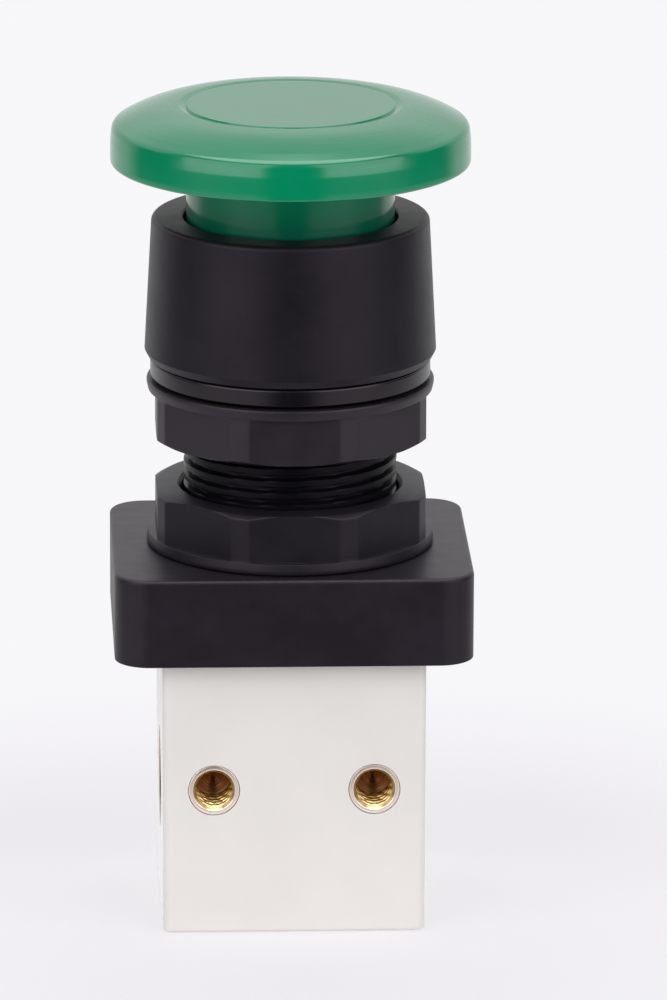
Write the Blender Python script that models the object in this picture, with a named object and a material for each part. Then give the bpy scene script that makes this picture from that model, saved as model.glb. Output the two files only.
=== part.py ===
"""Manual pneumatic valve with a mushroom push button, for mounting through a panel.

A green button slides in a black operator: bezel, gasket, threaded stem and two
flanged nuts. The stem screws into an adapter plate, and the plate is screwed to a
white valve block that holds a spool, its springs and seals, and brass inserts.

The origin is the centre of the block's bottom face, Z runs up the button's axis,
and the face with two small threaded inserts looks along -Y.
Sizes are in millimetres here and become metres where a mesh is made.
"""
import math

import bmesh
import bpy

MM = 0.001

# Clearances between pieces
RUN = 0.3
SEAT = 0.15
OPEN_END = 1.0

# Travel of the button and of the spool that it pushes
TRAVEL = 5.0

# Valve block, a drafted moulding that is widest at its top
BLOCK_BASE = 29.46
BLOCK_HEIGHT = 33.2
BLOCK_DRAFT = math.radians(0.1)
BLOCK_CORNER_R = 0.8
BLOCK_EDGE_R = 0.4
SPIGOT_STEP = 0.8

# Bore for the spool, and the threaded seat of the end plug below it
BORE_R = 5.0
PLUG_STEP = 2.3
PLUG_DEPTH = 3.3
PLUG_NOSE_STEP = 1.25
PLUG_NOSE_HEIGHT = 1.3
PLUG_SLOT_WIDTH = 1.6
PLUG_SLOT_DEPTH = 1.0
PLUG_VENT_R = 0.8
PLUG_RECESS = 0.35

# Side ports with brass inserts: supply on the left, outlet on the right
PORT_HEIGHT = 14.1
PORT_BORE_R = 4.4
PORT_INSERT_WALL = 1.2
PORT_INSERT_LENGTH = 7.0
PORT_MOUTH = 0.5
INSERT_SINK = 0.1
PASSAGE_R = 1.2
PASSAGE_OFFSET = 2.0
PASSAGE_WALL = 1.0

# Exhaust hole in the back face
EXHAUST_R = 1.3
EXHAUST_MOUTH_R = 2.1
EXHAUST_MOUTH_DEPTH = 5.0

# Two small brass inserts in the front face, for mounting screws
INSERT_SPACING = 18.0
INSERT_HEIGHT = 16.7
INSERT_BORE_R = 2.05
INSERT_WALL = 0.7
INSERT_LENGTH = 6.8
INSERT_MOUTH = 0.35
INSERT_FLOOR = 0.6
INSERT_END_PLAY = 0.45

# Spool with three sealing rings
LAND_EDGE = 0.4
WAIST_WALL = 0.8
TAPPET_R = 2.6
TAPPET_CHAMFER = 0.6
RING_SECTION_R = 0.7
RING_PLAY = 0.15
RING_MARGIN = 1.05
GROOVE_WALL = 1.0

# Valve spring inside the spool
VALVE_WIRE_R = 0.25
VALVE_SPRING_SEAT = 1.6
VALVE_SPRING_LENGTH = 13.0
VALVE_SPRING_TURNS = 7.0

# Adapter plate, a cap that laps over the block's top
PLATE_SIDE_WALL = 5.81
PLATE_FRONT_WALL = 3.21
PLATE_THICKNESS = 10.03
PLATE_LAP = 1.38
PLATE_FLOOR = 2.6
PLATE_CORNER_R = 4.0
PLATE_EDGE_R = 0.5
PLATE_DRAFT = math.radians(0.1)
POCKET_DEPTH = 4.5
POCKET_WALL = 1.9
POCKET_RIB = 1.4
POCKETS_PER_SIDE = 3

# Four screws that hold the plate on the block, under the stem
SCREW_CIRCLE_R = 8.2
SCREW_SHANK_R = 1.4
SCREW_HEAD_R = 2.4
SCREW_HEAD_HEIGHT = 1.6
SCREW_SOCKET_R = 1.2
SCREW_SOCKET_DEPTH = 0.9
SCREW_DEPTH = 7.0

# Threaded stem of the operator
THREAD_R = 12.0
STEM_WALL = 2.6
STEM_FLOOR = 2.3
COLLAR_STEP = 1.3
STEM_CHAMFER = 0.8

# Flanged nuts
NUT_WALL = 2.8
NUT_HEIGHT = 6.6
NUT_CORNER_RISE = 0.8
NUT_FLANGE_REACH = 1.05
NUT_FLANGE_EDGE = 0.45
NUT_FLANGE_HEIGHT = 1.2
NUT_FLANGE_TAPER = 0.15
NUT_CHAMFER_SLOPE = math.radians(30.0)
NUT_MOUTH = 0.4
FREE_THREAD = 5.7

# Panel gasket
GASKET_THICKNESS = 2.05
GASKET_INSET = 0.15
GASKET_EDGE_R = 0.3

# Bezel, a tapered sleeve with a lip that keeps the button in
BEZEL_HEIGHT = 16.1
BEZEL_FOOT_WALL = 2.78
BEZEL_TOP_WALL = 3.58
BEZEL_TOP_R = 0.6
BEZEL_CHAMFER = 0.9
BEZEL_CHAMFER_REACH = 0.49
BEZEL_MOUTH_R = 0.35
LIP_REACH = 1.6
LIP_LENGTH = 5.0
WIPER_SECTION_R = 0.5
WIPER_DROP = 3.2

# Mushroom button
HEAD_R = 20.18
HEAD_GAP = 6.12
RIM_HEIGHT = 4.38
RIM_DRAFT = 0.2
RIM_WALL = 1.9
RIM_TOP_R = 0.75
RIM_FOOT_R = 0.5
CROWN_RISE = 2.2
CROWN_BULGE = 0.55
DISC_R = 11.88
GROOVE_WIDTH = 0.67
GROOVE_DEPTH = 0.18
CROWN_WALL = 2.0
NECK_WALL = 1.8
NECK_FILLET_R = 1.0

# Carrier that the button snaps onto
CARRIER_FLANGE_PLAY = 0.6
CARRIER_FLANGE_HEIGHT = 1.5
CARRIER_WALL = 1.8
CARRIER_WEB = 2.0
CARRIER_CUP_HEIGHT = 8.0
CARRIER_COLUMN_R = 5.0
CARRIER_DISC_HEIGHT = 2.0
CARRIER_DISC_DROP = 11.9
ROD_R = 3.6
ROD_CHAMFER = 0.5

# Button spring inside the stem
BUTTON_WIRE_R = 0.5
BUTTON_SPRING_PLAY = 0.6
BUTTON_SPRING_TURNS = 5.0

# Facets of turned pieces
LARGE_ROUND = 44
SMALL_ROUND = 20
DRILL_ROUND = 12
RING_SIDES = 6
ARC_STEPS = 3

# Heights in the block: each ring seals beside a passage, at rest or when pushed
SUPPLY_HEIGHT = PORT_HEIGHT - PASSAGE_OFFSET
OUTLET_HEIGHT = PORT_HEIGHT + PASSAGE_OFFSET
LOWER_RING = SUPPLY_HEIGHT - PASSAGE_R - RING_MARGIN
MIDDLE_RING = PORT_HEIGHT
UPPER_RING = OUTLET_HEIGHT + PASSAGE_R + RING_MARGIN + TRAVEL
EXHAUST_HEIGHT = UPPER_RING - RING_MARGIN - EXHAUST_R
LAND_HALF = RING_SECTION_R + RING_PLAY + LAND_EDGE
BORE_TOP = UPPER_RING + LAND_HALF + RUN

# Heights that follow from the stack of pieces
PLATE_FOOT = BLOCK_HEIGHT - PLATE_LAP
PLATE_TOP = PLATE_FOOT + PLATE_THICKNESS
RECESS_CEILING = BLOCK_HEIGHT + SEAT
PLATE_FLOOR_TOP = RECESS_CEILING + PLATE_FLOOR
SCREW_HEAD_TOP = PLATE_FLOOR_TOP + SEAT + SCREW_HEAD_HEIGHT
STEM_FOOT = SCREW_HEAD_TOP + RUN
LOWER_NUT_FOOT = PLATE_TOP + SEAT
LOWER_NUT_TOP = LOWER_NUT_FOOT + NUT_HEIGHT
UPPER_NUT_FOOT = LOWER_NUT_TOP + FREE_THREAD
UPPER_NUT_TOP = UPPER_NUT_FOOT + NUT_HEIGHT
GASKET_FOOT = UPPER_NUT_TOP + RUN
BEZEL_FOOT = GASKET_FOOT + GASKET_THICKNESS + SEAT
BEZEL_TOP = BEZEL_FOOT + BEZEL_HEIGHT
LIP_FOOT = BEZEL_TOP - LIP_LENGTH
FLANGE_TOP = LIP_FOOT - RUN
FLANGE_FOOT = FLANGE_TOP - CARRIER_FLANGE_HEIGHT
STEM_TOP = FLANGE_FOOT - TRAVEL - RUN
HEAD_FOOT = BEZEL_TOP + HEAD_GAP
CROWN_EDGE = HEAD_FOOT + RIM_HEIGHT
HEAD_TOP = CROWN_EDGE + CROWN_RISE
ROD_FOOT = BLOCK_HEIGHT + RUN + TRAVEL
TAPPET_TOP = ROD_FOOT - RUN
DISC_FOOT = FLANGE_FOOT - CARRIER_DISC_DROP - CARRIER_DISC_HEIGHT

# Radii that follow from one piece fitting in or on another
STEM_BORE_R = THREAD_R - STEM_WALL
COLLAR_R = THREAD_R + COLLAR_STEP
CAVITY_R = COLLAR_R + RUN
BEZEL_HOLE_R = CAVITY_R - LIP_REACH
NECK_R = BEZEL_HOLE_R - RUN
NECK_BORE_R = NECK_R - NECK_WALL
BEZEL_FOOT_R = CAVITY_R + BEZEL_FOOT_WALL
BEZEL_SHOULDER_R = BEZEL_HOLE_R + BEZEL_TOP_WALL
NUT_BORE_R = THREAD_R + RUN
NUT_APOTHEM = NUT_BORE_R + NUT_WALL
NUT_FLANGE_R = NUT_APOTHEM + NUT_FLANGE_REACH
ROD_HOLE_R = ROD_R + 2 * RUN
PLUG_BORE_R = BORE_R + PLUG_STEP + RUN
PLUG_R = BORE_R + PLUG_STEP
PORT_INSERT_R = PORT_BORE_R + PORT_INSERT_WALL
INSERT_R = INSERT_BORE_R + INSERT_WALL
LAND_R = BORE_R - RUN
RING_R = BORE_R - RING_PLAY - RING_SECTION_R
GROOVE_ROOT_R = RING_R - RING_SECTION_R - RING_PLAY
SPOOL_POCKET_R = GROOVE_ROOT_R - GROOVE_WALL
WAIST_R = SPOOL_POCKET_R + WAIST_WALL


def arc(centre_r, centre_z, radius, start, end, steps=ARC_STEPS):
    """Points of an arc in the profile plane, from one angle in degrees to another."""
    angles = [math.radians(start + (end - start) * i / steps) for i in range(steps + 1)]
    return [(centre_r + radius * math.cos(a), centre_z + radius * math.sin(a)) for a in angles]


def material(name, colour, roughness, metallic=0.0):
    """Plain surface of one material slot."""
    surface = bpy.data.materials.new(name)
    surface.use_nodes = True
    shader = surface.node_tree.nodes["Principled BSDF"]
    shader.inputs["Base Color"].default_value = (*colour, 1.0)
    shader.inputs["Roughness"].default_value = roughness
    shader.inputs["Metallic"].default_value = metallic
    return surface


def finish_mesh(name, shape, crease=30.0):
    """Turn a bmesh into a mesh with outward faces, smooth where it is round."""
    bmesh.ops.recalc_face_normals(shape, faces=shape.faces)
    mesh = bpy.data.meshes.new(name)
    shape.to_mesh(mesh)
    shape.free()
    mesh.shade_smooth()
    mesh.set_sharp_from_angle(angle=math.radians(crease))
    return mesh


def add_object(name, mesh, surface=None, parent=None, at=(0, 0, 0), turn=(0, 0, 0)):
    """Place a mesh as a named piece. Position in millimetres, rotation in degrees."""
    piece = bpy.data.objects.new(name, mesh)
    bpy.context.scene.collection.objects.link(piece)
    piece.location = [value * MM for value in at]
    piece.rotation_euler = [math.radians(value) for value in turn]
    piece.parent = parent
    if surface and not mesh.materials:
        mesh.materials.append(surface)
    return piece


def lathe_mesh(name, profile, segments, ring=False):
    """Sweep a profile of (radius, height) once round Z. A ring's profile closes on itself."""
    shape = bmesh.new()
    points = [shape.verts.new((r * MM, 0, z * MM)) for r, z in profile]
    pairs = list(zip(points, points[1:]))
    if ring:
        pairs.append((points[-1], points[0]))
    edges = [shape.edges.new(pair) for pair in pairs]
    bmesh.ops.spin(shape, geom=points + edges, cent=(0, 0, 0), axis=(0, 0, 1),
                   angle=2 * math.pi, steps=segments, use_merge=True)
    bmesh.ops.remove_doubles(shape, verts=shape.verts, dist=1e-7)
    return finish_mesh(name, shape)


def loft_mesh(name, sections):
    """Skin a stack of outlines that have as many points each, with a cap at both ends."""
    shape = bmesh.new()
    rings = []
    for outline, height in sections:
        rings.append([shape.verts.new((x * MM, y * MM, height * MM)) for x, y in outline])
    for low, high in zip(rings, rings[1:]):
        for i in range(len(low)):
            j = (i + 1) % len(low)
            shape.faces.new((low[i], low[j], high[j], high[i]))
    shape.faces.new(reversed(rings[0]))
    shape.faces.new(rings[-1])
    return finish_mesh(name, shape)


def rounded_rectangle(width, depth, radius, steps=ARC_STEPS):
    """Outline of a rectangle with rounded corners, centred on the axis."""
    outline = []
    for quarter, (side_x, side_y) in enumerate(((1, 1), (-1, 1), (-1, -1), (1, -1))):
        centre_x = side_x * (width / 2 - radius)
        centre_y = side_y * (depth / 2 - radius)
        outline += arc(centre_x, centre_y, radius, 90 * quarter, 90 * quarter + 90, steps)
    return outline


def boolean(target, tool, operation):
    """Cut a piece with a helper solid, or add the helper to it."""
    tool.hide_render = True
    tool.display_type = "WIRE"
    step = target.modifiers.new(tool.name, "BOOLEAN")
    step.operation = operation
    step.solver = "EXACT"
    step.object = tool


def drill(target, name, profile, at, turn=(0, 0, 0), segments=SMALL_ROUND):
    """Cut a turned hole. The profile runs along Z before the tool is turned and placed."""
    tool = add_object(name, lathe_mesh(name, profile, segments), at=at, turn=turn)
    boolean(target, tool, "DIFFERENCE")


def cylinder_profile(radius, foot, top):
    """Profile of a plain solid cylinder."""
    return [(0, top), (radius, top), (radius, foot), (0, foot)]


def seal_ring(name, ring_r, section_r, surface, parent, height):
    """Rubber ring of round section."""
    profile = arc(ring_r, 0, section_r, 0, -360, RING_SIDES)[:-1]
    mesh = lathe_mesh(name, profile, SMALL_ROUND, ring=True)
    return add_object(name, mesh, surface, parent, at=(0, 0, height))


def coil_spring(name, coil_r, wire_r, foot, length, turns, surface, points_per_turn=12):
    """Round wire coil, closed for one turn at each end."""
    closed_pitch = 2 * wire_r * 1.3
    free_rise = length - 2 * wire_r - 2 * closed_pitch
    free_turns = turns - 2
    count = int(turns * points_per_turn)
    wire = bpy.data.curves.new(name, "CURVE")
    wire.dimensions = "3D"
    wire.bevel_depth = wire_r * MM
    wire.bevel_resolution = 1
    wire.use_fill_caps = True
    line = wire.splines.new("POLY")
    line.points.add(count)
    for i, point in enumerate(line.points):
        turn = turns * i / count
        middle = min(max(turn - 1, 0), free_turns)
        closed = turn - middle
        height = wire_r + closed * closed_pitch + free_rise * middle / free_turns
        angle = 2 * math.pi * turn
        point.co = (coil_r * math.cos(angle) * MM, coil_r * math.sin(angle) * MM, height * MM, 1)
    return add_object(name, wire, surface, at=(0, 0, foot))


def block_half_width(height):
    """Half the block's width at a height, which its draft makes larger upwards."""
    return BLOCK_BASE / 2 + height * math.tan(BLOCK_DRAFT)


def spigot_half_width():
    """Half the width of the square spigot on the block's top."""
    return block_half_width(BLOCK_HEIGHT) - SPIGOT_STEP


def block_pocket():
    """Width of the plate's recess, which takes the block's spigot."""
    return 2 * (spigot_half_width() + RUN)


def make_valve_block(surface):
    """White block with the spool bore, two side ports, an exhaust and two front inserts."""
    sections = []
    for angle in (0, 30, 60, 90):
        inset = BLOCK_EDGE_R * (1 - math.sin(math.radians(angle)))
        height = BLOCK_EDGE_R * (1 - math.cos(math.radians(angle)))
        width = 2 * (block_half_width(height) - inset)
        sections.append((rounded_rectangle(width, width, BLOCK_CORNER_R), height))
    shoulder = PLATE_FOOT - RUN
    width = 2 * block_half_width(shoulder)
    spigot = 2 * spigot_half_width()
    sections.append((rounded_rectangle(width, width, BLOCK_CORNER_R), shoulder))
    for height in (shoulder, BLOCK_HEIGHT):
        sections.append((rounded_rectangle(spigot, spigot, BLOCK_CORNER_R), height))
    block = add_object("valve_body", loft_mesh("valve_body", sections), surface)

    tappet_hole_r = TAPPET_R + RUN
    bore = [(0, BLOCK_HEIGHT + OPEN_END), (tappet_hole_r, BLOCK_HEIGHT + OPEN_END),
            (tappet_hole_r, BORE_TOP), (BORE_R, BORE_TOP), (BORE_R, PLUG_DEPTH),
            (PLUG_BORE_R, PLUG_DEPTH), (PLUG_BORE_R, -OPEN_END), (0, -OPEN_END)]
    drill(block, "spool_bore_tool", bore, at=(0, 0, 0))

    port_face = block_half_width(PORT_HEIGHT)
    port_depth = PORT_INSERT_LENGTH + PASSAGE_WALL
    for name, side, passage_height in (("supply", -1, SUPPLY_HEIGHT), ("outlet", 1, OUTLET_HEIGHT)):
        port = cylinder_profile(PORT_INSERT_R + SEAT, -port_depth, OPEN_END)
        drill(block, name + "_port_tool", port, at=(side * port_face, 0, PORT_HEIGHT),
              turn=(0, side * 90, 0))
        passage = cylinder_profile(PASSAGE_R, BORE_R * 0.8, port_face - PORT_INSERT_LENGTH)
        drill(block, name + "_passage_tool", passage,
              at=(0, 0, passage_height), turn=(0, side * 90, 0), segments=DRILL_ROUND)

    exhaust_face = block_half_width(EXHAUST_HEIGHT)
    exhaust_step = exhaust_face - EXHAUST_MOUTH_DEPTH
    exhaust = [(0, exhaust_face + OPEN_END), (EXHAUST_MOUTH_R, exhaust_face + OPEN_END),
               (EXHAUST_MOUTH_R, exhaust_step), (EXHAUST_R, exhaust_step),
               (EXHAUST_R, BORE_R * 0.8), (0, BORE_R * 0.8)]
    drill(block, "exhaust_tool", exhaust, at=(0, 0, EXHAUST_HEIGHT), turn=(-90, 0, 0))

    for name, side in (("left", -1), ("right", 1)):
        hole = cylinder_profile(INSERT_R + SEAT, -INSERT_LENGTH - INSERT_END_PLAY, OPEN_END)
        drill(block, name + "_insert_tool", hole, turn=(90, 0, 0),
              at=(side * INSERT_SPACING / 2, -block_half_width(INSERT_HEIGHT), INSERT_HEIGHT))

    for number, (x, y) in enumerate(screw_places(), 1):
        hole = cylinder_profile(SCREW_SHANK_R + SEAT, BLOCK_HEIGHT - SCREW_DEPTH, BLOCK_HEIGHT + OPEN_END)
        drill(block, f"block_screw_tool_{number}", hole, at=(x, y, 0), segments=DRILL_ROUND)
    return block


def screw_places():
    """Centres of the four plate screws, on the diagonals."""
    angles = [math.radians(45 + 90 * i) for i in range(4)]
    return [(SCREW_CIRCLE_R * math.cos(a), SCREW_CIRCLE_R * math.sin(a)) for a in angles]


def insert_profile(bore_r, outer_r, length, mouth):
    """Brass bush with a countersunk mouth at z = 0 and a chamfered nose."""
    return [(bore_r + mouth, 0), (outer_r, 0), (outer_r, -length + mouth),
            (outer_r - mouth, -length), (bore_r, -length), (bore_r, -mouth)]


def make_inserts(surface):
    """Two blind mounting inserts in the front face and one port insert in each side."""
    depth = INSERT_LENGTH - INSERT_FLOOR
    blind = [(0, -depth), (INSERT_BORE_R, -depth), (INSERT_BORE_R, -INSERT_MOUTH),
             (INSERT_BORE_R + INSERT_MOUTH, 0), (INSERT_R, 0), (INSERT_R, -INSERT_LENGTH + INSERT_MOUTH),
             (INSERT_R - INSERT_MOUTH, -INSERT_LENGTH), (0, -INSERT_LENGTH)]
    small = lathe_mesh("front_insert", blind, SMALL_ROUND)
    for name, side in (("front_insert_left", -1), ("front_insert_right", 1)):
        place = (side * INSERT_SPACING / 2, INSERT_SINK - block_half_width(INSERT_HEIGHT), INSERT_HEIGHT)
        add_object(name, small, surface, at=place, turn=(90, 0, 0))
    large = lathe_mesh("port_insert", insert_profile(PORT_BORE_R, PORT_INSERT_R, PORT_INSERT_LENGTH,
                                                     PORT_MOUTH), SMALL_ROUND, ring=True)
    for name, side in (("supply_port_insert", -1), ("outlet_port_insert", 1)):
        place = (side * (block_half_width(PORT_HEIGHT) - INSERT_SINK), 0, PORT_HEIGHT)
        add_object(name, large, surface, at=place, turn=(0, side * 90, 0))


def make_end_plug(metal, rubber):
    """Plug that closes the spool bore from below, with a driver slot and a vent."""
    nose_r = PLUG_R - PLUG_NOSE_STEP
    top = PLUG_DEPTH - SEAT
    shoulder = top - PLUG_NOSE_HEIGHT
    cup_r = SPOOL_POCKET_R
    cup_floor = VALVE_SPRING_SEAT - SEAT
    profile = [(PLUG_VENT_R, cup_floor), (cup_r, cup_floor), (cup_r, top), (nose_r, top),
               (nose_r, shoulder), (PLUG_R, shoulder), (PLUG_R, PLUG_RECESS), (PLUG_VENT_R, PLUG_RECESS)]
    plug = add_object("end_plug", lathe_mesh("end_plug", profile, SMALL_ROUND, ring=True), metal)
    slot = bmesh.new()
    bmesh.ops.create_cube(slot, size=MM)
    bmesh.ops.scale(slot, verts=slot.verts, vec=(2 * PLUG_R + OPEN_END, PLUG_SLOT_WIDTH, PLUG_SLOT_DEPTH))
    tool = add_object("plug_slot_tool", finish_mesh("plug_slot_tool", slot), at=(0, 0, PLUG_RECESS))
    boolean(plug, tool, "DIFFERENCE")
    section_r = (PLUG_BORE_R - nose_r) / 2 - RING_PLAY
    seal_ring("plug_seal", nose_r + RING_PLAY + section_r, section_r, rubber, None,
              PLUG_DEPTH - SEAT - section_r)


def make_spool(metal, rubber, group, rest):
    """Spool with three grooved lands, a hollow foot for its spring and a long tappet."""
    groove_half = RING_SECTION_R + RING_PLAY
    profile = [(0, TAPPET_TOP), (TAPPET_R - TAPPET_CHAMFER, TAPPET_TOP),
               (TAPPET_R, TAPPET_TOP - TAPPET_CHAMFER)]
    previous = TAPPET_R
    for height in (UPPER_RING, MIDDLE_RING, LOWER_RING):
        profile += [(previous, height + LAND_HALF), (LAND_R, height + LAND_HALF),
                    (LAND_R, height + groove_half), (GROOVE_ROOT_R, height + groove_half),
                    (GROOVE_ROOT_R, height - groove_half), (LAND_R, height - groove_half),
                    (LAND_R, height - LAND_HALF)]
        previous = WAIST_R
        if height != LOWER_RING:
            profile.append((previous, height - LAND_HALF))
    pocket_top = VALVE_SPRING_SEAT + VALVE_SPRING_LENGTH + SEAT
    profile += [(SPOOL_POCKET_R, LOWER_RING - LAND_HALF), (SPOOL_POCKET_R, pocket_top), (0, pocket_top)]
    profile = [(r, z - rest) for r, z in profile]
    add_object("spool", lathe_mesh("spool", profile, SMALL_ROUND), metal, group)
    for name, height in (("lower", LOWER_RING), ("middle", MIDDLE_RING), ("upper", UPPER_RING)):
        seal_ring("spool_ring_" + name, RING_R, RING_SECTION_R, rubber, group, height - rest)


def plate_width():
    """Width of the adapter plate at its top."""
    return block_pocket() + 2 * PLATE_SIDE_WALL


def plate_depth():
    """Depth of the adapter plate at its top, front to back."""
    return block_pocket() + 2 * PLATE_FRONT_WALL


def plate_section(height, inset=0.0):
    """Outline of the adapter plate at a height, pulled in by its draft and an edge rounding."""
    pull = 2 * ((PLATE_TOP - height) * math.tan(PLATE_DRAFT) + inset)
    radius = PLATE_CORNER_R - pull / 2
    return rounded_rectangle(plate_width() - pull, plate_depth() - pull, radius, 2 * ARC_STEPS)


def make_adapter_plate(surface):
    """Black cap with a threaded well for the stem, a recess for the block and cored sides."""
    sections = [(plate_section(PLATE_FOOT), PLATE_FOOT)]
    for angle in (0, 30, 60, 90):
        inset = PLATE_EDGE_R * (1 - math.cos(math.radians(angle)))
        height = PLATE_TOP - PLATE_EDGE_R * (1 - math.sin(math.radians(angle)))
        sections.append((plate_section(height, inset), height))
    plate = add_object("adapter_plate", loft_mesh("adapter_plate", sections), surface)

    outline = rounded_rectangle(block_pocket(), block_pocket(), BLOCK_CORNER_R + RUN)
    recess = loft_mesh("recess_tool", [(outline, PLATE_FOOT - OPEN_END), (outline, RECESS_CEILING)])
    boolean(plate, add_object("recess_tool", recess), "DIFFERENCE")

    well_r = NUT_BORE_R
    well = [(0, PLATE_TOP + OPEN_END), (well_r, PLATE_TOP + OPEN_END), (well_r, PLATE_FLOOR_TOP),
            (ROD_HOLE_R, PLATE_FLOOR_TOP), (ROD_HOLE_R, PLATE_FOOT), (0, PLATE_FOOT)]
    drill(plate, "well_tool", well, at=(0, 0, 0), segments=LARGE_ROUND)
    for number, (x, y) in enumerate(screw_places(), 1):
        hole = cylinder_profile(SCREW_SHANK_R + RUN, PLATE_FOOT, PLATE_FLOOR_TOP + OPEN_END)
        drill(plate, f"plate_screw_tool_{number}", hole, at=(x, y, 0), segments=DRILL_ROUND)

    inner = block_half_width(BLOCK_HEIGHT) + RUN + POCKET_WALL / 2
    outer = plate_width() / 2 - POCKET_WALL
    span = plate_depth() - 2 * PLATE_CORNER_R
    length = (span - (POCKETS_PER_SIDE - 1) * POCKET_RIB) / POCKETS_PER_SIDE
    outline = rounded_rectangle(outer - inner, length, (outer - inner) / 4, 2)
    pocket = loft_mesh("pocket_tool", [(outline, -OPEN_END), (outline, POCKET_DEPTH)])
    for side in (-1, 1):
        for i in range(POCKETS_PER_SIDE):
            y = (i - (POCKETS_PER_SIDE - 1) / 2) * (length + POCKET_RIB)
            tool = add_object(f"pocket_tool_{side}_{i}", pocket,
                              at=(side * (inner + outer) / 2, y, PLATE_FOOT))
            boolean(plate, tool, "DIFFERENCE")
    return plate


def make_plate_screws(surface):
    """Four socket screws through the plate's floor into the block."""
    foot = BLOCK_HEIGHT - SCREW_DEPTH + RUN
    head_foot = PLATE_FLOOR_TOP + SEAT
    socket_floor = SCREW_HEAD_TOP - SCREW_SOCKET_DEPTH
    profile = [(0, socket_floor), (SCREW_SOCKET_R, socket_floor), (SCREW_SOCKET_R, SCREW_HEAD_TOP),
               (SCREW_HEAD_R - SEAT, SCREW_HEAD_TOP), (SCREW_HEAD_R, SCREW_HEAD_TOP - SEAT),
               (SCREW_HEAD_R, head_foot), (SCREW_SHANK_R, head_foot), (SCREW_SHANK_R, foot + SEAT),
               (SCREW_SHANK_R - SEAT, foot), (0, foot)]
    mesh = lathe_mesh("plate_screw", profile, DRILL_ROUND)
    for number, (x, y) in enumerate(screw_places(), 1):
        add_object(f"plate_screw_{number}", mesh, surface, at=(x, y, 0))


def make_stem(surface):
    """Hollow operator stem: a floor for the spring, the threaded length and a top collar."""
    shoulder = THREAD_R - STEM_CHAMFER
    profile = [(ROD_HOLE_R, STEM_FOOT), (ROD_HOLE_R, STEM_FOOT + STEM_FLOOR),
               (STEM_BORE_R, STEM_FOOT + STEM_FLOOR), (STEM_BORE_R, STEM_TOP),
               (COLLAR_R, STEM_TOP), (COLLAR_R, GASKET_FOOT), (THREAD_R, GASKET_FOOT),
               (THREAD_R, STEM_FOOT + STEM_CHAMFER), (shoulder, STEM_FOOT)]
    mesh = lathe_mesh("operator_stem", profile, LARGE_ROUND, ring=True)
    return add_object("operator_stem", mesh, surface)


def nut_outline():
    """Octagon with its corners cut by short facets. A flat looks along -Y."""
    corner_r = NUT_APOTHEM + NUT_CORNER_RISE
    eighth = math.radians(22.5)
    half_flat = (corner_r - NUT_APOTHEM * math.cos(eighth)) / math.sin(eighth)
    outline = []
    for i in range(8):
        facing = math.radians(45 * i - 90)
        for side in (-1, 1):
            along = side * half_flat
            outline.append((NUT_APOTHEM * math.cos(facing) - along * math.sin(facing),
                            NUT_APOTHEM * math.sin(facing) + along * math.cos(facing)))
    return outline


def make_nuts(surface):
    """Two equal flanged nuts, the lower one flange down and the upper one flange up."""
    outline = nut_outline()
    body = loft_mesh("flanged_nut", [(outline, NUT_FLANGE_EDGE), (outline, NUT_HEIGHT)])
    reach = NUT_CORNER_RISE * 2
    cone_foot = NUT_HEIGHT - reach * math.tan(NUT_CHAMFER_SLOPE)
    crown = [(0, NUT_HEIGHT + OPEN_END), (NUT_APOTHEM, NUT_HEIGHT + OPEN_END), (NUT_APOTHEM, NUT_HEIGHT),
             (NUT_APOTHEM + reach, cone_foot), (NUT_APOTHEM + reach, 0), (0, 0)]
    crown_tool = add_object("nut_crown_tool", lathe_mesh("nut_crown_tool", crown, LARGE_ROUND))
    flange = [(0, NUT_FLANGE_HEIGHT), (NUT_FLANGE_R - NUT_FLANGE_TAPER, NUT_FLANGE_HEIGHT),
              (NUT_FLANGE_R, NUT_FLANGE_EDGE), (NUT_FLANGE_R, 0), (0, 0)]
    flange_tool = add_object("nut_flange_tool", lathe_mesh("nut_flange_tool", flange, LARGE_ROUND))
    mouth_r = NUT_BORE_R + NUT_MOUTH
    bore = [(0, NUT_HEIGHT + OPEN_END), (mouth_r, NUT_HEIGHT + OPEN_END), (mouth_r, NUT_HEIGHT),
            (NUT_BORE_R, NUT_HEIGHT - NUT_MOUTH), (NUT_BORE_R, NUT_MOUTH), (mouth_r, 0),
            (mouth_r, -OPEN_END), (0, -OPEN_END)]
    bore_tool = add_object("nut_bore_tool", lathe_mesh("nut_bore_tool", bore, LARGE_ROUND))
    lower = add_object("lower_nut", body, surface, at=(0, 0, LOWER_NUT_FOOT))
    upper = add_object("upper_nut", body, surface, at=(0, 0, UPPER_NUT_TOP), turn=(180, 0, 0))
    for nut in (lower, upper):
        for tool, operation in ((crown_tool, "INTERSECT"), (flange_tool, "UNION"),
                                (bore_tool, "DIFFERENCE")):
            placed = add_object(f"{nut.name}_{tool.name}", tool.data)
            placed.location = nut.location
            placed.rotation_euler = nut.rotation_euler
            boolean(nut, placed, operation)
    for tool in (crown_tool, flange_tool, bore_tool):
        bpy.data.objects.remove(tool)


def make_gasket(surface):
    """Rubber ring that the bezel presses on the panel."""
    outer = BEZEL_FOOT_R - BEZEL_CHAMFER_REACH - GASKET_INSET
    inner = COLLAR_R + RUN
    top = GASKET_FOOT + GASKET_THICKNESS
    edge = GASKET_EDGE_R
    profile = [(inner, GASKET_FOOT), (inner, top)]
    profile += arc(outer - edge, top - edge, edge, 90, 0, 2)
    profile += arc(outer - edge, GASKET_FOOT + edge, edge, 0, -90, 2)
    mesh = lathe_mesh("panel_gasket", profile, LARGE_ROUND, ring=True)
    return add_object("panel_gasket", mesh, surface)


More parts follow.
